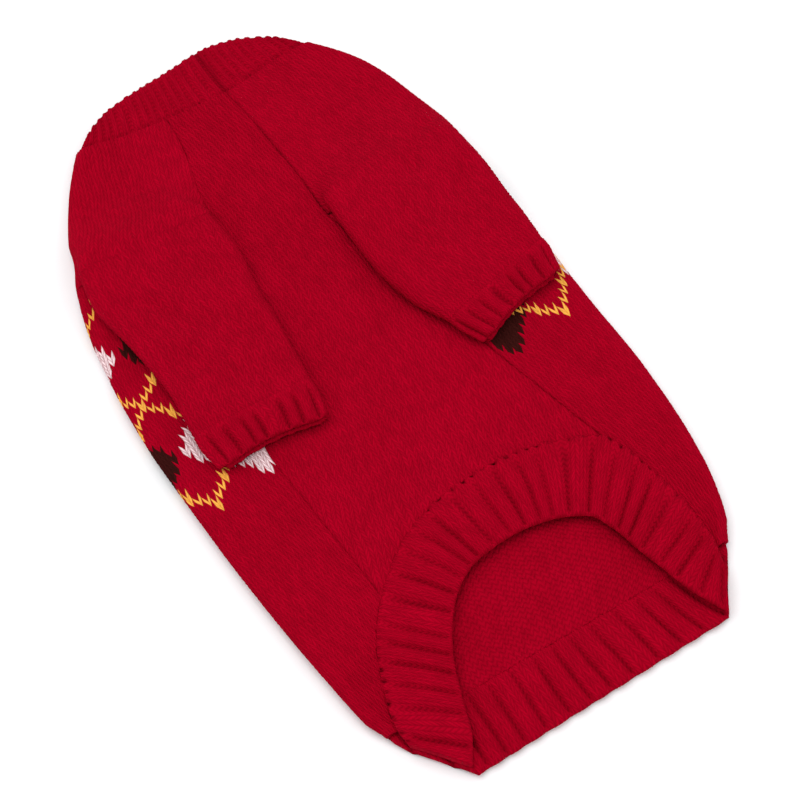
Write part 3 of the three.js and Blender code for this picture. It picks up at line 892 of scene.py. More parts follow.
def ribbed(ribs, knitShare, valley, pad):  # height, purl share, wales and narrow groove
    form, t = ribForm, ribs % 1
    inKnit = np.clip(t / knitShare, 0, 1)
    inValley = np.clip((t - knitShare) / (1 - knitShare), 0, 1)
    dip = np.sin(np.pi * inValley) ** form["dipPower"]
    groove = dip * np.exp(-(((inValley - form["groovePlace"]) / form["grooveWidth"]) ** 2))
    height = np.where(t < knitShare, pad * np.sin(np.pi * inKnit) ** form["padPower"],
                      -valley * (form["dip"] * dip + form["groove"] * groove))
    wales = 4 * np.floor(ribs) + 2 * inKnit + 2 * inValley
    wide = form["purlEdge"]
    purl = np.where(t < knitShare, 0, smooth(inValley / wide) * smooth((1 - inValley) / wide))
    return height, purl, wales, groove * smooth(valley / form["fullGroove"])


def ribColumns(piece, length):  # the whole ribs that fit, and the columns' places among them
    count = int(round(length / piece["pitch"]))
    return count, np.linspace(0, count, count * piece["columnsPerRib"] + 1)


def ribSurface(piece, ribs, knitShare, valley, fade, courses):  # ribs with their stitches
    height, purl, wales, groove = ribbed(ribs, knitShare, valley, piece["pad"])
    height = height * fade
    wales = wales * piece["walesPerRib"] / 4
    relief = knitRelief(wales, courses) * (1 - purl) + purlRelief(wales, courses) * purl
    return {"height": height, "relief": height + (relief - 1) * piece["stitchDepth"],
            "groove": groove, "purl": purl, "wales": wales, "courses": courses}


def ribCloth(name, piece, outer, inner, surface, paintedShade, ring=False, innerPurl=1):
    rowStep, columnStep = piece["innerSteps"]
    pick = np.ix_(coarser(outer.shape[0], rowStep), coarser(outer.shape[1], columnStep))
    wales, courses = surface["wales"], surface["courses"]
    cloth = newCloth()
    outerIds = addSkin(cloth, outer, wales, courses, surface["purl"], paintedShade)
    innerIds = addSkin(cloth, inner[pick], wales[pick], courses[pick], innerPurl)
    closeGrid(cloth, outerIds, innerIds, ring)
    return finishCloth(cloth, name, redRib)


# Band round the belly opening, picked up along its seam with a row of eyelets
bellyBand = {
    "walesPerRib": 4,
    "columnsPerRib": 18,
    "seamRows": 2,  # rows are closer here, and near the free edge at these distances from it
    "seamStep": 0.4,
    "rowStep": 0.7,
    "edgeRows": (1.6, 1.2, 0.8, 0.5, 0.2, 0),
    "innerSteps": (4, 6),
    "width": 28,
    "stops": (0, 0.45, 1),  # the seam, the middle and the free edge
    "knitShare": (0.56, 0.66, 0.72),
    "valley": (0.4, 1.1, 1.0),
    "pad": 0.9,
    "stitchDepth": 0.45,
    "edgeFade": 2.4,
    "seamFade": 6,
    "flatAtSeam": 0.45,
    "bulge": 0.8,
    "endDrop": 2.2,
    "seamDrop": 0.5,
    "seamReach": 1.5,
    "eyeletRadius": 0.8,
    "eyeletStretch": 1.2,
    "eyeletShade": 0.7,
    "grooveShade": 0.33,
    "darkest": 0.85,
    "eyeletDepth": 2.2,
    "eyeletFromSeam": 0.7,
    "openAt": (0, 1, 2.5, 3.5, 6, 7, 9.4, 10, 12, 14, 17),  # places along the arch
    "open": (0.3, 0.9, 0.9, 0.25, 0.2, 0.9, 1, 0.5, 1, 0.5, 0.2),
    "flat": (0.0296, 0.330),
    "area": 0.0072,
}


def bandGrid(shares, t):
    line = archAt(t)
    width = np.hypot(line["inX"] - line["outX"], line["inY"] - line["outY"])
    start = -knit["lap"] / width
    share = start + (1 - start) * shares[:, None]
    x = line["outX"] + (line["inX"] - line["outX"]) * share
    y = line["outY"] + (line["inY"] - line["outY"]) * share
    fromEnd = np.minimum(t, archLast - t) / 1.5
    drop = bellyBand["endDrop"] * (1 - smooth(fromEnd))
    return np.stack([x, y, body["height"] + knit["ribProud"] - drop + 0 * x], 2)


def makeBand():
    dense = np.linspace(0, archLast, bandArch["ribSteps"])
    ribsOnLine, count = archRibs(dense)
    places = np.linspace(0, count, count * bellyBand["columnsPerRib"] + 1)
    t = np.interp(places, ribsOnLine, dense)
    wide = bellyBand["width"]
    finer, edgeRows = bellyBand["seamRows"], np.array(bellyBand["edgeRows"])
    shares = runOn(spread(0, finer / wide, bellyBand["seamStep"] / wide),
                   spread(finer / wide, 1 - edgeRows[0] / wide, bellyBand["rowStep"] / wide),
                   1 - edgeRows / wide)
    points = bandGrid(shares, t)
    x, y = points[:, :, 0], points[:, :, 1]
    ribs = strayRibs(places)[None, :] + 0.05 * np.sin(3 * shares[:, None] + places[None, :])
    across = runningLength(points, 0)
    fromSeam, fromEdge = across, across[-1:] - across
    knitShare = curve(bellyBand["stops"], bellyBand["knitShare"], shares)[:, None]
    valley = curve(bellyBand["stops"], bellyBand["valley"], shares)[:, None]
    valley = valley * smooth(fromEdge / bellyBand["edgeFade"]) * (1 + 0.25 * np.sin(places * 1.9))
    flat = bellyBand["flatAtSeam"]
    flatter = flat + (1 - flat) * smooth(fromSeam / bellyBand["seamFade"])
    surface = ribSurface(bellyBand, ribs, knitShare, valley, flatter, across / knit["course"])
    eyeletPlace = (ribs * 2 + 0.5) % 1 - 0.5
    stagger = 0.35 * np.sin(places * 2.7)
    eyelet = np.hypot(eyeletPlace * bandArch["pitch"] / 2,
                      (fromSeam - bellyBand["eyeletFromSeam"] - stagger) / bellyBand["eyeletStretch"])
    opened = curve(bellyBand["openAt"], bellyBand["open"], t) * (0.75 + 0.25 * np.sin(places * 4.1))
    eyelet = np.exp(-((eyelet / bellyBand["eyeletRadius"]) ** 2)) * opened
    lift = bodyLift(x, y)
    lift = lift + bellyBand["bulge"] * np.sin(np.pi * shares[:, None])
    rounding = edgeDrop(fromEdge, knit["rib"] / 2)
    outer = points.copy()
    outer[:, :, 2] += lift + surface["relief"] - bellyBand["eyeletDepth"] * eyelet + rounding
    outer[:, :, 2] -= bellyBand["seamDrop"] * (1 - smooth(fromSeam / bellyBand["seamReach"]))
    inner = points.copy()
    inner[:, :, 2] += lift - knit["rib"] - rounding
    shade = bellyBand["grooveShade"] * surface["groove"] * smooth(fromSeam / 7)
    paintedShade = np.clip(bellyBand["eyeletShade"] * eyelet + shade, 0, bellyBand["darkest"])
    return ribCloth("belly_opening_rib", bellyBand, outer, inner, surface, paintedShade)


declare(makeBand(), "belly_rib")
print("belly rib knitted")


# Straight rib along the back hem, lying on its outer face
hemRib = {
    "walesPerRib": 4,
    "pitch": 9.3,
    "columns": 290,
    "seamRows": 1.6,
    "seamStep": 0.4,
    "rowStep": 0.7,
    "edgeRows": (1.6, 1.2, 0.8, 0.5, 0.2, 0),
    "innerSteps": (4, 6),
    "ribStart": 8.3,
    "leanX": (-60, 10, 70),
    "lean": (0, 0.08, 0.42),
    "stops": (0, 0.5, 1),
    "knitShare": (0.66, 0.7, 0.74),
    "valley": (0.5, 1.3, 1.2),
    "pad": 0.7,
    "stitchDepth": 0.45,
    "sideInset": 0.4,
    "cornerInset": 2.4,
    "insetLength": 11,
    "lap": 1.8,
    "seamFade": 5,
    "seamDrop": 1.3,
    "seamReach": 2.6,
    "edgeFade": 1.6,
    "edgeWave": 0.6,  # ribs stand out from the lower edge, within this reach of it
    "waveReach": 3,
    "grooveShade": 0.34,
    "slant": 0.026,  # the lower edge rises towards the right
    "flat": (0.156, 0.0272),
    "area": 0.00415,
}


def makeHemRib():
    top, low = body["hemSeamY"] + hemRib["lap"], body["hemEdgeY"]
    finer, edgeRows = top - hemRib["seamRows"], low + np.array(hemRib["edgeRows"])
    y = runOn(spread(top, finer, hemRib["seamStep"]), spread(finer, edgeRows[0], hemRib["rowStep"]),
              edgeRows)[:, None]
    inset = hemRib["cornerInset"] * smooth(1 - (top - y) / hemRib["insetLength"])
    inset = hemRib["sideInset"] + inset
    left, right = edge(y, "left") + inset, edge(y, "right") - inset
    x = left + (right - left) * np.linspace(0, 1, hemRib["columns"] + 1)
    down = (top - y) / (top - low)
    xTop = x - curve(hemRib["leanX"], hemRib["lean"], x) * (top - y)
    ribs = xTop / hemRib["pitch"] + hemRib["ribStart"]
    ribs = ribs + 0.1 * np.sin(xTop / 6.5) + 0.04 * np.sin(4 * down + xTop / 9)
    toEdge, toSeam, toSide = y - low, top - y, np.minimum(x - left, right - x)
    knitShare = curve(hemRib["stops"], hemRib["knitShare"], down)
    valley = curve(hemRib["stops"], hemRib["valley"], down) * smooth(toEdge / hemRib["edgeFade"])
    courses, fade = toEdge / knit["course"] + 0 * x, smooth(toSeam / hemRib["seamFade"])
    surface = ribSurface(hemRib, ribs, knitShare, valley, fade, courses)
    rounding = edgeDrop(np.minimum(toEdge, toSide), knit["rib"] / 2)
    yShown = y + down * hemRib["slant"] * x
    points = np.stack([x, yShown, knit["rib"] + 0 * x], 2)
    outer = points.copy()
    seamDrop = hemRib["seamDrop"] * (1 - smooth(toSeam / hemRib["seamReach"]))
    outer[:, :, 2] += surface["relief"] - seamDrop + rounding
    wave, nearEdge = hemRib["edgeWave"], np.exp(-((toEdge / hemRib["waveReach"]) ** 2))
    outer[:, :, 1] -= wave * (surface["height"] + wave) * nearEdge
    inner = points.copy()
    inner[:, :, 2] -= knit["rib"] + rounding
    paintedShade = hemRib["grooveShade"] * surface["groove"] * fade
    return ribCloth("hem_rib", hemRib, outer, inner, surface, paintedShade, innerPurl=0)


declare(makeHemRib(), "back_hem_rib")
print("hem rib knitted")


# Neck band: a fine rib tube, lying flat
neckBand = {
    "walesPerRib": 2,
    "pitch": 4.6,
    "columnsPerRib": 8,
    "seamRows": (0.06, 0.015),  # up to which share of the height, and how far apart
    "rowStep": 0.032,
    "edgeRows": (0.93, 0.96, 0.98, 1),
    "innerSteps": (4, 4),
    "seamPoints": 400,
    "foldPoints": 40,
    "underPoints": 60,
    "topPoints": 120,
    "knitShare": 0.6,
    "valley": 0.8,
    "pad": 0.5,
    "stitchDepth": 0.4,
    "fold": 6,
    "fadeShare": 0.12,
    "topNarrowing": 0.86,
    "lowest": 0.02,  # it never dips into the surface that it lies on
    "holeDepth": 1.3,
    "holeFromSeam": 1.3,
    "holeWidth": 0.22,
    "holeLength": 0.8,
    "sink": 0.5,
    "seamRadius": 0.8,
    "seamHollow": 0.5,
    "seamReach": 2.4,
    "edgeWave": 0.9,  # ribs stand out from the free edge, within this reach of it
    "waveReach": 4,
    "holeShade": 0.5,
    "grooveShade": 0.16,
    "raglanShade": 0.28,
    "darkest": 0.8,
    "creases": ((-34, 172, -30, 146, 2, 3, -0.6), (34, 180, 40, 148, -2, 3, 0.5),
                (-10, 176, -6, 150, 1, 4, -0.4)),
    "raglanCrease": (12.2, 190, 16.4, 124, 0, 1.3, -1.0),
    "flat": (0.256, 0.0285),
    "area": 0.0053,
}


def resampled(points, places):  # rows of a grid at given shares of their length
    result = np.empty((points.shape[0], len(places), 3))
    length = runningLength(points, 1)
    for i, row in enumerate(points):
        for axis in range(3):
            result[i, :, axis] = np.interp(places * length[i, -1], length[i], row[:, axis])
    return result


def neckRing(shares, places):
    y, tall, fold = body["neckSeamY"], body["height"], neckBand["fold"]
    left, right = float(edge(y, "left")) + fold, float(edge(y, "right")) - fold
    turn = np.linspace(-math.pi / 2, math.pi / 2, neckBand["foldPoints"])
    under, above = neckBand["underPoints"], neckBand["topPoints"]
    x = runOn(np.linspace(0, right, under), right + fold * np.cos(turn),
              np.linspace(right, left, above), left - fold * np.cos(turn[::-1]),
              np.linspace(left, 0, under))
    z = runOn(np.zeros(under), tall / 2 * (1 + np.sin(turn)), np.full(above, tall),
              tall / 2 * (1 + np.sin(turn[::-1])), np.zeros(under))
    share = shares[:, None]
    narrowed = x * neckBand["topNarrowing"]
    low = neckSeam(x) - knit["lap"]
    ring = np.stack([x + (narrowed - x) * share, low + (neckTopAt(narrowed) - low) * share,
                     z + 0 * share], 2)
    return resampled(ring, places)


def neckTopAt(x):
    return curve(body["neckX"], body["neckTop"], x)


def makeNeckBand():
    seam = neckRing(np.array([0.0]), np.linspace(0, 1, neckBand["seamPoints"]))
    count, places = ribColumns(neckBand, runningLength(seam, 1)[0, -1])
    finer, seamStep = neckBand["seamRows"]
    edgeRows = np.array(neckBand["edgeRows"])
    shares = runOn(spread(0, finer, seamStep), spread(finer, edgeRows[0], neckBand["rowStep"]), edgeRows)
    points = neckRing(shares, places / count)
    normals = gridNormals(points, ring=True)
    if normals[0, 0, 2] > 0:
        normals = -normals
    x, y, z = coordinates(points)
    upper = smooth((z - 4) / 4)
    turn = 2 * np.pi * places / count
    ribs = places + 0.14 * np.sin(7 * turn) + 0.1 * np.sin(13 * turn + 1) - 0.24 * np.sin(1)
    ribs = ribs[None, :] + 0.06 * np.sin(4 * shares[:, None] + 3 * turn)
    share, fade = shares[:, None], neckBand["fadeShare"]
    valley = neckBand["valley"] * smooth((1.02 - share) / fade) * smooth(share / fade)
    along = runningLength(points, 0)
    surface = ribSurface(neckBand, ribs, neckBand["knitShare"], valley, 1, along / knit["course"])
    acrossHole = (ribs * 2 % 1 - 0.5) / neckBand["holeWidth"]
    alongHole = (along - neckBand["holeFromSeam"]) / neckBand["holeLength"]
    hole = np.exp(-(acrossHole**2)) * np.exp(-(alongHole**2))
    hole = hole * (0.55 + 0.45 * np.sin(5 * turn + 1) * np.sin(23 * turn))
    toEdge = along[-1:] - along
    raglan = upper * creaseLift([neckBand["raglanCrease"]], x, y)
    lift = upper * creaseLift(neckBand["creases"], x, y) + raglan
    rounding = edgeDrop(toEdge, knit["rib"] / 2)
    move = surface["relief"] - hole * neckBand["holeDepth"] + edgeDrop(along, neckBand["seamRadius"])
    move = move + rounding - neckBand["sink"]
    move = move - neckBand["seamHollow"] * np.exp(-((along / neckBand["seamReach"]) ** 2))
    outer = points + normals * move[:, :, None]
    nearEdge = smooth(1 - toEdge / neckBand["waveReach"])
    outer[:, :, 1] += neckBand["edgeWave"] * surface["height"] * nearEdge
    outer[:, :, 2] = np.maximum(outer[:, :, 2] + lift, neckBand["lowest"])
    inner = points - normals * (knit["rib"] + rounding)[:, :, None]
    inner[:, :, 2] += lift
    shade = neckBand["holeShade"] * hole + neckBand["grooveShade"] * surface["groove"]
    paintedShade = np.clip(shade - neckBand["raglanShade"] * raglan, 0, neckBand["darkest"])
    return ribCloth("neck_band_rib", neckBand, outer, inner, surface, paintedShade, ring=True)


declare(makeNeckBand(), "neck_band")
print("neck band knitted")


# Raglan sleeves, folded down over the flanks, and their cuffs
sleeveShape = {
    "height": 8.6,
    "base": 9.2,
    "fold": 6,
    "capFold": 10,
    "capLength": 44,
    "riseNeck": 26,
    "riseUnderarm": 7,
    "splitLength": 22,
    "curlLength": 12,
    "tuckLength": 0.6,
    "creaseShare": 1.8,
    "ripple": 0.55,
    "rowStep": 0.66,
    "edgeStep": 0.4,
    "edgeLength": 2,  # rows are closer this near to the neck and to the cuff
    "lineSteps": 200,
    "columns": {"fold": 18, "top": 84, "end": 22, "below": 14, "underCap": 4},
    "innerRowStep": 5,
    "innerColumnSteps": (6, 2, 2),
    # creases act from a height up, and fully from a reach above it: tube, cap, cap near the neck
    "tubeTop": (11, 5),
    "capTop": (8, 4),
    "neckTop": (6, 3),
    "neckFromY": 90,
    "neckRadius": 0.6,
    "seamShadeWidth": 0.9,
    "cuffRow": 4,
    "lastRowLength": 18,
}
sleeves = {
    "left": {
        "flat": (0.152, 0.172),
        "area": 0.0170,
        "inX": (-24.5, -22.5, -25, -26, -27.5, -29),
        "inY": (84, 62, 38, 14, -10, -29),
        "outX": (-87.5, -89, -84, -80.5, -81, -78),
        "outY": (84, 65, 40, 15, -10, -28),
        "middleY": (150, 120, 100, 84),
        "middleX": (-37, -44, -50, -56),
        "creases": (
            (-82, 62, -58, 40, 4, 4, -1.5),
            (-78, 40, -56, 30, -3, 4, 1.0),
            (-80, 24, -52, 12, 3, 5, -1.1),
            (-38, 52, -30, 16, 2, 6, 0.8),
            (-60, 118, -36, 108, 3, 7, -0.7),
            (-70, 96, -44, 86, -2, 8, 0.7),
            (-66, 4, -36, -6, 2, 6, -0.7),
            (-46, 76, -34, 48, -3, 6, -0.8),
            (-84, 96, -76, 60, 3, 6, 0.6),
        ),
    },
    "right": {
        "flat": (0.162, 0.184),
        "area": 0.0188,
        "inX": (21.2, 21.3, 22.8, 27.3, 36, 43.5),
        "inY": (62, 43, 21, 2, -15, -31.5),
        "outX": (92, 93, 92.6, 92.6, 92.2, 90.4),
        "outY": (62, 48, 32, 15, 0, -17),
        "middleY": (150, 120, 100, 62),
        "middleX": (37, 46, 51, 56.6),
        "creases": (
            (58, 52, 84, 84, 3, 4, -1.5),
            (66, 34, 88, 58, -3, 4, -1.3),
            (50, 30, 66, 60, 3, 5, 1.0),
            (38, 92, 52, 116, -3, 6, -0.8),
            (30, 40, 44, 16, 4, 5, -1.0),
            (62, 14, 78, 34, 2, 4, -0.8),
            (70, 100, 80, 70, -3, 7, 0.7),
            (44, 8, 56, -4, 2, 4, 0.7),
        ),
    },
}


def sleeveRows(side, t):
    table = sleeves[side]
    steps = np.arange(len(table["inX"]))
    return {name: curve(steps, table[name], t)[:, None] for name in ("inX", "inY", "outX", "outY")}


def rowLength(row):
    return np.hypot(row["outX"] - row["inX"], row["outY"] - row["inY"])


def onRow(row, s, z):  # points at a distance from the row's inner end
    x = row["inX"] + (row["outX"] - row["inX"]) * s / rowLength(row)
    y = row["inY"] + (row["outY"] - row["inY"]) * s / rowLength(row)
    return np.stack([x, y, z + 0 * x], 2)


def tubeTop(side, t, counts):  # outer fold from below, upper layer, inner fold to below
    row, fold, half = sleeveRows(side, t), sleeveShape["fold"], sleeveShape["height"] / 2
    turn = np.linspace(-math.pi / 2, math.pi / 2, counts["fold"] + 1)
    turnBack = np.linspace(math.pi / 2, -math.pi / 2, counts["end"] + 1)
    far = rowLength(row) - fold
    s = runOn(far + fold * np.cos(turn), far + (fold - far) * np.linspace(0, 1, counts["top"] + 1),
              fold - fold * np.cos(turnBack) + 0 * far)
    z = runOn(half * np.sin(turn), np.full(counts["top"] + 1, half), half * np.sin(turnBack))
    return onRow(row, s, sleeveShape["base"] + half + z)


def tubeBelow(side, t, counts):  # lower layer, from the inner fold to the outer one
    row, fold = sleeveRows(side, t), sleeveShape["fold"]
    far = rowLength(row) - fold
    s = fold + (far - fold) * np.linspace(0, 1, counts["below"] + 1)
    return onRow(row, s, sleeveShape["base"])


def capShare(y, side, length):  # 1 at the underarm, 0 from a length above it
    return smooth(1 - (y - body["underarmY"][side]) / sleeveShape[length])


def capHeight(y, side):
    top = sleeveShape["base"] + sleeveShape["height"]
    return body["height"] + (top - body["height"]) * capShare(y, side, "capLength")


def capFold(y, side, turn, splitTurn, splitFold):  # one side fold, split in two at the underarm
    rise, split = capShare(y, side, "capLength"), capShare(y, side, "splitLength")
    high, rim = capHeight(y, side), np.abs(edge(y, side))
    wide = sleeveShape["fold"] + (sleeveShape["capFold"] - sleeveShape["fold"]) * rise
    out, fold, base, tall = splitFold
    x = (1 - split) * (rim - wide + wide * np.cos(turn)) \
        + split * (rim + out - fold + fold * np.cos(splitTurn))
    z = (1 - split) * (high / 2) * (1 + np.sin(turn)) \
        + split * (base + tall / 2 * (1 + np.sin(splitTurn)))
    return x, z


def capGrid(y, side, x, z):
    x, y = x * sideSign[side], y + 0 * x
    return np.stack([x, y + neckShift(y, x), z], 2)


def capTop(side, heights, counts):  # upper half of the fold, the cap and its way down to the seam
    y = heights[:, None]
    base, tall, fold = sleeveShape["base"], sleeveShape["height"], sleeveShape["fold"]
    out = abs(sleeves[side]["outX"][0]) - abs(float(edge(body["underarmY"][side], side)))
    turn = np.linspace(0, math.pi / 2, counts["fold"] + 1)
    foldX, foldZ = capFold(y, side, turn, 2 * turn - math.pi / 2, (out, fold, base, tall))
    front, high = np.abs(seamX(y, side)) - knit["lap"], capHeight(y, side)
    rise, curl = capShare(y, side, "capLength"), capShare(y, side, "curlLength")
    riseNeck, riseUnderarm = sleeveShape["riseNeck"], sleeveShape["riseUnderarm"]
    descent = (riseNeck + (riseUnderarm - riseNeck) * rise) * (1 - curl) + fold * curl
    across = np.linspace(0, 1, counts["top"] + 1)
    topX = foldX[:, -1:] + (front + descent - foldX[:, -1:]) * across
    end = np.linspace(0, 1, counts["end"] + 1)
    turnBack = math.pi / 2 - math.pi * end
    curls = curl + (capShare(y, side, "tuckLength") - curl) * smooth(2 * end - 1)
    plainX = front + descent * (1 - end)
    plainZ = body["height"] + (high - body["height"]) * smooth(1 - end)
    curledX = front + fold - fold * np.cos(turnBack)
    curledZ = base + tall / 2 * (1 + np.sin(turnBack))
    x = runOn(foldX, topX, (1 - curls) * plainX + curls * curledX)
    z = runOn(foldZ, foldZ[:, -1:] + 0 * topX, (1 - curls) * plainZ + curls * curledZ)
    return capGrid(y, side, x, z)


def capBelow(side, heights, counts):  # under layer from the back raglan, and the fold's lower half
    y = heights[:, None]
    turn = np.linspace(-math.pi / 2, 0, counts["fold"] // 2 + 1)
    lowerFold = (0, body["foldChest"], 0, body["height"])
    foldX, foldZ = capFold(y, side, turn, 2 * turn + math.pi / 2, lowerFold)
    raglan = np.abs(backRaglan(y, side)) + knit["gap"] / 2
    underX = raglan + (foldX[:, :1] - raglan) * np.linspace(0, 1, counts["underCap"] + 1)
    return capGrid(y, side, runOn(underX, foldX), runOn(0 * underX, foldZ))


def joinGrids(grids, bend):  # one set of points along the edges that the three grids share
    upper, cap, tube = grids
    cap[:, -1] = upper[:bend + 1, 0]
    tube[:, 0], tube[:, -1] = upper[bend:, -1], upper[bend:, 0]


def sleevePlaces(side):  # heights down the cap, and the tube's rows in the table's steps
    step, edgeStep = sleeveShape["rowStep"], sleeveShape["edgeStep"]
    top = body["neckSeamY"] + knit["lap"]
    finer = top - sleeveShape["edgeLength"]
    heights = runOn(spread(top, finer, edgeStep), spread(finer, body["underarmY"][side], step))
    dense = np.linspace(0, sleeveShape["cuffRow"], sleeveShape["lineSteps"])
    line = sleeveRows(side, dense)
    middle = np.hstack([line["inX"] + line["outX"], line["inY"] + line["outY"]]) / 2
    length = lineLength(middle)
    end = length[-1] + knit["lap"]
    finer = end - sleeveShape["edgeLength"]
    places = runOn(spread(0, finer, step), spread(finer, end, edgeStep))
    pastSeam = np.maximum(places - length[-1], 0)
    return heights, np.interp(places, length, dense) + pastSeam / sleeveShape["lastRowLength"]


def sleeveGrids(side, heights, t):  # the upper layer, the cap's under layer and the tube's
    counts = sleeveShape["columns"]
    bend = len(heights) - 1  # row of the underarm
    upper = np.concatenate([capTop(side, heights, counts)[:-1], tubeTop(side, t, counts)])
    cap, tube = capBelow(side, heights, counts), tubeBelow(side, t, counts)
    joinGrids([upper, cap, tube], bend)
    before = np.concatenate([cap[:-1, -2:-1], tube[:, -2:-1]])
    after = np.concatenate([2 * upper[:bend, -1:] - upper[:bend, -2:-1], tube[:, 1:2]])
    tubeWide = np.concatenate([upper[bend:, -2:-1], tube, upper[bend:, 1:2]], axis=1)
    normals = [
        gridNormals(np.concatenate([before, upper, after], axis=1))[:, 1:-1],
        gridNormals(np.concatenate([cap, upper[:bend + 1, 1:2]], axis=1))[:, :-1],
        gridNormals(tubeWide)[:, 1:-1],
    ]
    if normals[0][20, counts["fold"] + 20, 2] < 0:  # a point on the cap's flat top
        normals = [-normal for normal in normals]
    return [upper, cap, tube], normals


def sleeveStitches(side, grids, heights, t):  # counted from the sleeve's middle line
    upper, cap, tube = grids
    bend, counts = len(heights) - 1, sleeveShape["columns"]
    capX = curve(sleeves[side]["middleY"], sleeves[side]["middleX"], heights)
    line = sleeveRows(side, t)
    tubeMiddle = np.hstack([line["inX"] + line["outX"], line["inY"] + line["outY"]]) / 2
    centre = np.concatenate([np.stack([capX, heights], 1)[:-1], tubeMiddle])
    toNeck = -np.gradient(centre, axis=0)
    toNeck /= np.linalg.norm(toNeck, axis=1, keepdims=True)
    tubeOut = np.hstack([line["outX"] - line["inX"], line["outY"] - line["inY"]])
    outward = np.concatenate([np.tile([sideSign[side], 0.0], (bend, 1)), tubeOut])
    outward /= np.linalg.norm(outward, axis=1, keepdims=True)
    lean = np.sum(toNeck * outward, axis=1)[:, None]
    running = runningLength(upper, 1)
    flatRun = slice(counts["fold"], counts["fold"] + counts["top"] + counts["end"] // 2)
    atMiddle = np.empty(len(centre))
    for i in range(len(centre)):
        reach = (upper[i, flatRun, :2] - centre[i]) @ outward[i]
        atMiddle[i] = np.interp(0, reach[::-1], running[i, flatRun][::-1])
    fromMiddle = atMiddle[:, None] - running
    down = -lineLength(centre)[:, None]
    capLength = runningLength(cap, 1)
    capFrom = fromMiddle[:bend + 1, :1] + (capLength[:, -1:] - capLength)
    tubeFrom = fromMiddle[bend:, -1:] - runningLength(tube, 1)
    stitches = []
    for away, rows in ((fromMiddle, slice(None)), (capFrom, slice(0, bend + 1)),
                       (tubeFrom, slice(bend, None))):
        strayWales, strayCourses = uneven(away, down[rows])
        wales = away * np.sqrt(1 - lean[rows] ** 2) / knit["wale"] + 0.5 + strayWales
        stitches.append((wales, (down[rows] + away * lean[rows]) / knit["course"] + strayCourses))
    return stitches


def above(z, layer):
    height, reach = sleeveShape[layer]
    return (z - height) / reach


def sleeveLift(side, x, y, isTop):  # creases and ripples of the upper layer only
    creased = sleeveShape["creaseShare"] * creaseLift(sleeves[side]["creases"], x, y)
    return isTop * (creased + ripple(x + 40, y - 20, sleeveShape["ripple"]))


def sleeveRelief(side, points, wales, courses, bend):  # upper layer: depth below its face, painted shade along its seam
    across = runningLength(points, 1)
    toSeam = np.full(across.shape, float(farAway))
    toSeam[:bend] = (across[:, -1:] - across)[:bend]
    sink = (1 - knitRelief(wales, courses)) * knit["knitDepth"]
    sink -= np.minimum(edgeDrop(toSeam, body["seamRadius"][side]),
                       edgeDrop(runningLength(points, 0), sleeveShape["neckRadius"]))
    sink[:, 0] = 0
    sink[bend:, -1] = 0
    return sink, body["seamShade"][side] * np.exp(-((toSeam / sleeveShape["seamShadeWidth"]) ** 2))


def sleeveEdges(ids, bend):
    upper, cap, tube = ids
    return [
        np.concatenate([cap[0], upper[0, 1:]]), upper[:bend + 1, -1], tube[0],
        cap[-1], cap[:, 0], np.concatenate([upper[-1], tube[-1, 1:]]),
    ]


def makeSleeve(side):
    heights, t = sleevePlaces(side)
    bend = len(heights) - 1
    grids, normals = sleeveGrids(side, heights, t)
    stitches = sleeveStitches(side, grids, heights, t)
    outer, inner, paintedSeamShades = [], [], []
    for points, normal, (wales, courses) in zip(grids, normals, stitches):
        x, y, z = coordinates(points)
        if points is grids[0]:
            nearNeck = y > sleeveShape["neckFromY"]
            isTop = smooth(above(z, "capTop") + nearNeck * above(z, "neckTop"))
            sink, paintedSeamShade = sleeveRelief(side, points, wales, courses, bend)
        else:
            isTop = smooth(above(z, "tubeTop"))
            sink, paintedSeamShade = np.zeros_like(x), 0
        lift = np.stack([0 * x, 0 * x, sleeveLift(side, x, y, isTop)], 2)
        outer.append(points - normal * sink[:, :, None] + lift)
        inner.append(points - normal * knit["jersey"] + lift)
        paintedSeamShades.append(paintedSeamShade)
    joinGrids(outer, bend)
    joinGrids(inner, bend)
    rows = coarser(len(grids[0]), sleeveShape["innerRowStep"], [bend])
    keptRows = [rows, rows[rows <= bend], rows[rows >= bend] - bend]
    cloth = newCloth()
    outerIds = [addSkin(cloth, points, wales, courses, 0, paintedSeamShade)
                for points, (wales, courses), paintedSeamShade in zip(outer, stitches, paintedSeamShades)]
    innerIds = []
    steps = sleeveShape["innerColumnSteps"]
    for points, (wales, courses), kept, step in zip(inner, stitches, keptRows, steps):
        pick = np.ix_(kept, coarser(points.shape[1], step))
        innerIds.append(addSkin(cloth, points[pick], wales[pick], courses[pick], 1))
    innerBend = int(np.searchsorted(rows, bend))
    for outerEdge, innerEdge in zip(sleeveEdges(outerIds, bend), sleeveEdges(innerIds, innerBend)):
        closeEdge(cloth, outerEdge, innerEdge)
    return finishCloth(cloth, "sleeve_" + side + "_plain_knit", redJersey)


for side in sideSign:
    declare(makeSleeve(side), "sleeve_" + side)
print("sleeves knitted")


# Cuffs: rib tubes that go on from the sleeves
cuff = {
    "walesPerRib": 4,
    "pitch": 7.9,
    "columnsPerRib": 14,
    "columns": {"fold": 30, "top": 80, "end": 30, "below": 80},
    "seamRows": 2,
    "seamStep": 0.45,
    "rowStep": 0.7,
    "edgeRows": (1.6, 1.1, 0.7, 0.35, 0.1, 0),
    "innerSteps": (3, 4),
    "knitShare": 0.62,
    "valley": 1.4,
    "seamFade": 0.15,  # shares of the cuff's height over which its valleys fade out
    "edgeFade": 0.1,
    "pad": 0.8,
    "flatAtSeam": 0.25,
    "flatShare": 0.3,
    "sink": 0.2,
    "stitchDepth": 0.45,
    "droop": 2.1,
    "scoop": 3.2,  # the lower edge is drawn up in its middle, and at its corners
    "corner": 1.6,
    "cornerReach": 3,
    "grooveShade": 0.4,
    "left": {"flat": (0.130, 0.0192), "area": 0.0023},
    "right": {"flat": (0.117, 0.0192), "area": 0.0021},
}


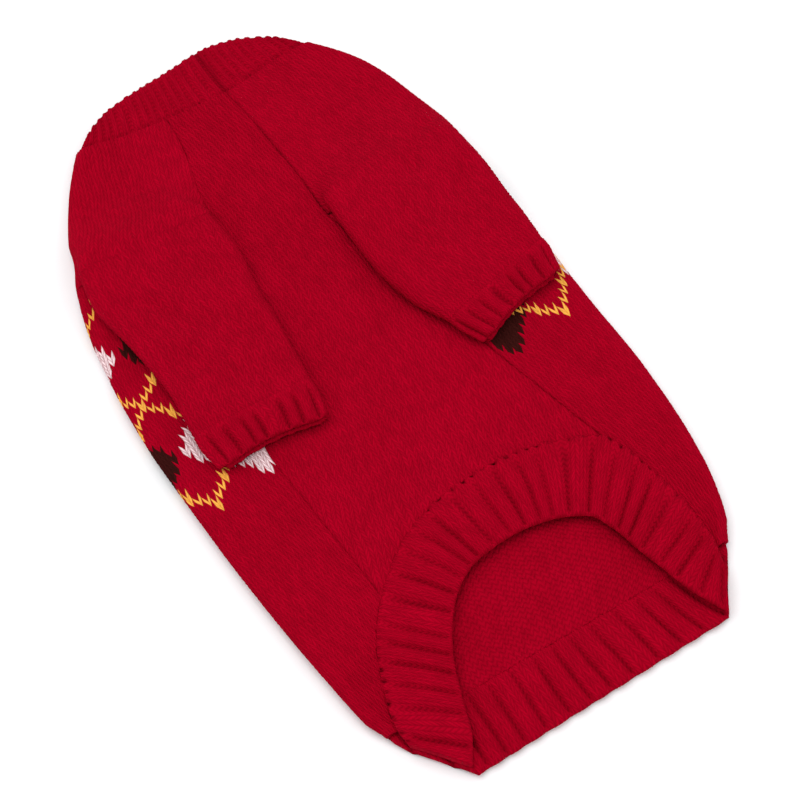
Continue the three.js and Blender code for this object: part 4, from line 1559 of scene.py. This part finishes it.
def cuffRows(length):
    finer, edgeRows = cuff["seamRows"], np.array(cuff["edgeRows"])
    return runOn(spread(-knit["lap"], finer, cuff["seamStep"]),
                 spread(finer, length - edgeRows[0], cuff["rowStep"]), length - edgeRows)


def cuffScoop(points, row):  # how far the lower edge is drawn up
    wideX, wideY, wide = row["outX"] - row["inX"], row["outY"] - row["inY"], rowLength(row)
    place = ((points[:, :, 0] - row["inX"]) * wideX + (points[:, :, 1] - row["inY"]) * wideY) / wide
    middle = cuff["scoop"] * np.sin(np.pi * np.clip(place / wide, 0, 1))
    toCorner = np.minimum(place, wide - place) / cuff["cornerReach"]
    return middle + cuff["corner"] * np.exp(-(toCorner**2))


def makeCuff(side):
    start = sleeveShape["cuffRow"]
    first, last = sleeveRows(side, np.array([start])), sleeveRows(side, np.array([start + 1]))
    upX = first["inX"] + first["outX"] - last["inX"] - last["outX"]
    upY = first["inY"] + first["outY"] - last["inY"] - last["outY"]
    length = float(np.hypot(upX, upY)[0, 0]) / 2
    down = cuffRows(length)
    share, toEdge = (down / length)[:, None], length - down[:, None]
    t = start + down / length
    below = tubeBelow(side, t, cuff["columns"])
    ring = np.concatenate([tubeTop(side, t, cuff["columns"]), below[:, 1:]], axis=1)
    count, places = ribColumns(cuff, runningLength(ring, 1)[0, -1])
    points = resampled(ring, places / count)
    scoop = cuffScoop(points, sleeveRows(side, t)) * smooth(share)
    points[:, :, 0] += scoop * upX / 2 / length
    points[:, :, 1] += scoop * upY / 2 / length
    normals = gridNormals(points, ring=True)
    if normals[3, int(0.3 * len(places)), 2] < 0:  # a point on the upper layer
        normals = -normals
    turn = 2 * np.pi * places / count
    ribs = places + 0.14 * np.sin(4 * turn) + 0.1 * np.sin(7 * turn) + 0.04 * np.sin(5 * share + turn)
    valley = cuff["valley"] * smooth((1.02 - share) / cuff["edgeFade"])
    valley = valley * smooth(share / cuff["seamFade"])
    flat = cuff["flatAtSeam"]
    flatter = flat + (1 - flat) * smooth(share / cuff["flatShare"])
    courses = -down[:, None] / knit["course"] + 0 * ribs
    surface = ribSurface(cuff, ribs, cuff["knitShare"], valley, flatter, courses)
    rounding = edgeDrop(toEdge, knit["rib"] / 2)
    move = surface["relief"] + knit["ribProud"] - cuff["sink"] + rounding
    depth = knit["rib"] - knit["ribProud"] + rounding
    x, y, z = coordinates(points)
    isTop = smooth(above(z, "tubeTop"))
    lift = sleeveLift(side, x, y, isTop) - isTop * cuff["droop"] * smooth(share)
    outer = points + normals * move[:, :, None]
    outer[:, :, 2] += lift
    inner = points - normals * depth[:, :, None]
    inner[:, :, 2] += lift
    paintedShade = cuff["grooveShade"] * surface["groove"] * smooth(share / 0.4)
    return ribCloth("cuff_" + side + "_rib", cuff, outer, inner, surface, paintedShade, ring=True)


for side in sideSign:
    declare(makeCuff(side), "cuff_" + side)
print("cuffs knitted")


# Floor, light and camera, in metres
paper = {"colour": "#F4F4F5", "roughness": 0.9, "size": 6, "height": -0.0004}
paperMaterial = bpy.data.materials.new("matt_white_paper")  # thick uncoated paper
paperMaterial.use_nodes = True
paperShader = paperMaterial.node_tree.nodes["Principled BSDF"]
paperShader.inputs["Base Color"].default_value = linear(paper["colour"])
paperShader.inputs["Roughness"].default_value = paper["roughness"]
bpy.ops.mesh.primitive_plane_add(size=paper["size"], location=(0, 0, paper["height"]))
floor = bpy.context.object
floor.name = "paper_floor"
floor.data.materials.append(paperMaterial)

surroundings = {"colour": (1, 1, 1, 1), "strength": 0.75}
world = bpy.data.worlds.new("studio")
bpy.context.scene.world = world
world.use_nodes = True
background = world.node_tree.nodes["Background"]
background.inputs["Color"].default_value = surroundings["colour"]
background.inputs["Strength"].default_value = surroundings["strength"]

lights = {
    "overhead": {"size": 1.6, "power": 14, "place": (-0.35, 0.35, 1.5)},
    "front": {"size": 1.2, "power": 4, "place": (0.7, -0.9, 1.2)},
}
for name, values in lights.items():
    lamp = bpy.data.lights.new(name, "AREA")
    lamp.shape = "DISK"
    lamp.size = values["size"]
    lamp.energy = values["power"]
    holder = bpy.data.objects.new(name, lamp)
    bpy.context.scene.collection.objects.link(holder)
    holder.location = values["place"]
    holder.rotation_euler = (-holder.location).to_track_quat("-Z", "Y").to_euler()

view = {"azimuth": -30.7, "elevation": 60.5, "distance": 0.684, "lens": 74.25, "sensor": 36,
        "target": (0.0033, -0.0276, 0)}
camera = bpy.data.cameras.new("camera")
camera.lens = view["lens"]
camera.sensor_width = view["sensor"]
holder = bpy.data.objects.new("camera", camera)
bpy.context.scene.collection.objects.link(holder)
azimuth, elevation = math.radians(view["azimuth"]), math.radians(view["elevation"])
back = Vector((math.sin(azimuth) * math.cos(elevation), -math.cos(azimuth) * math.cos(elevation),
               math.sin(elevation)))
holder.location = Vector(view["target"]) + back * view["distance"]
holder.rotation_euler = (-back).to_track_quat("-Z", "Y").to_euler()
bpy.context.scene.camera = holder
bpy.context.scene.view_settings.view_transform = "Standard"

print("scene ready")
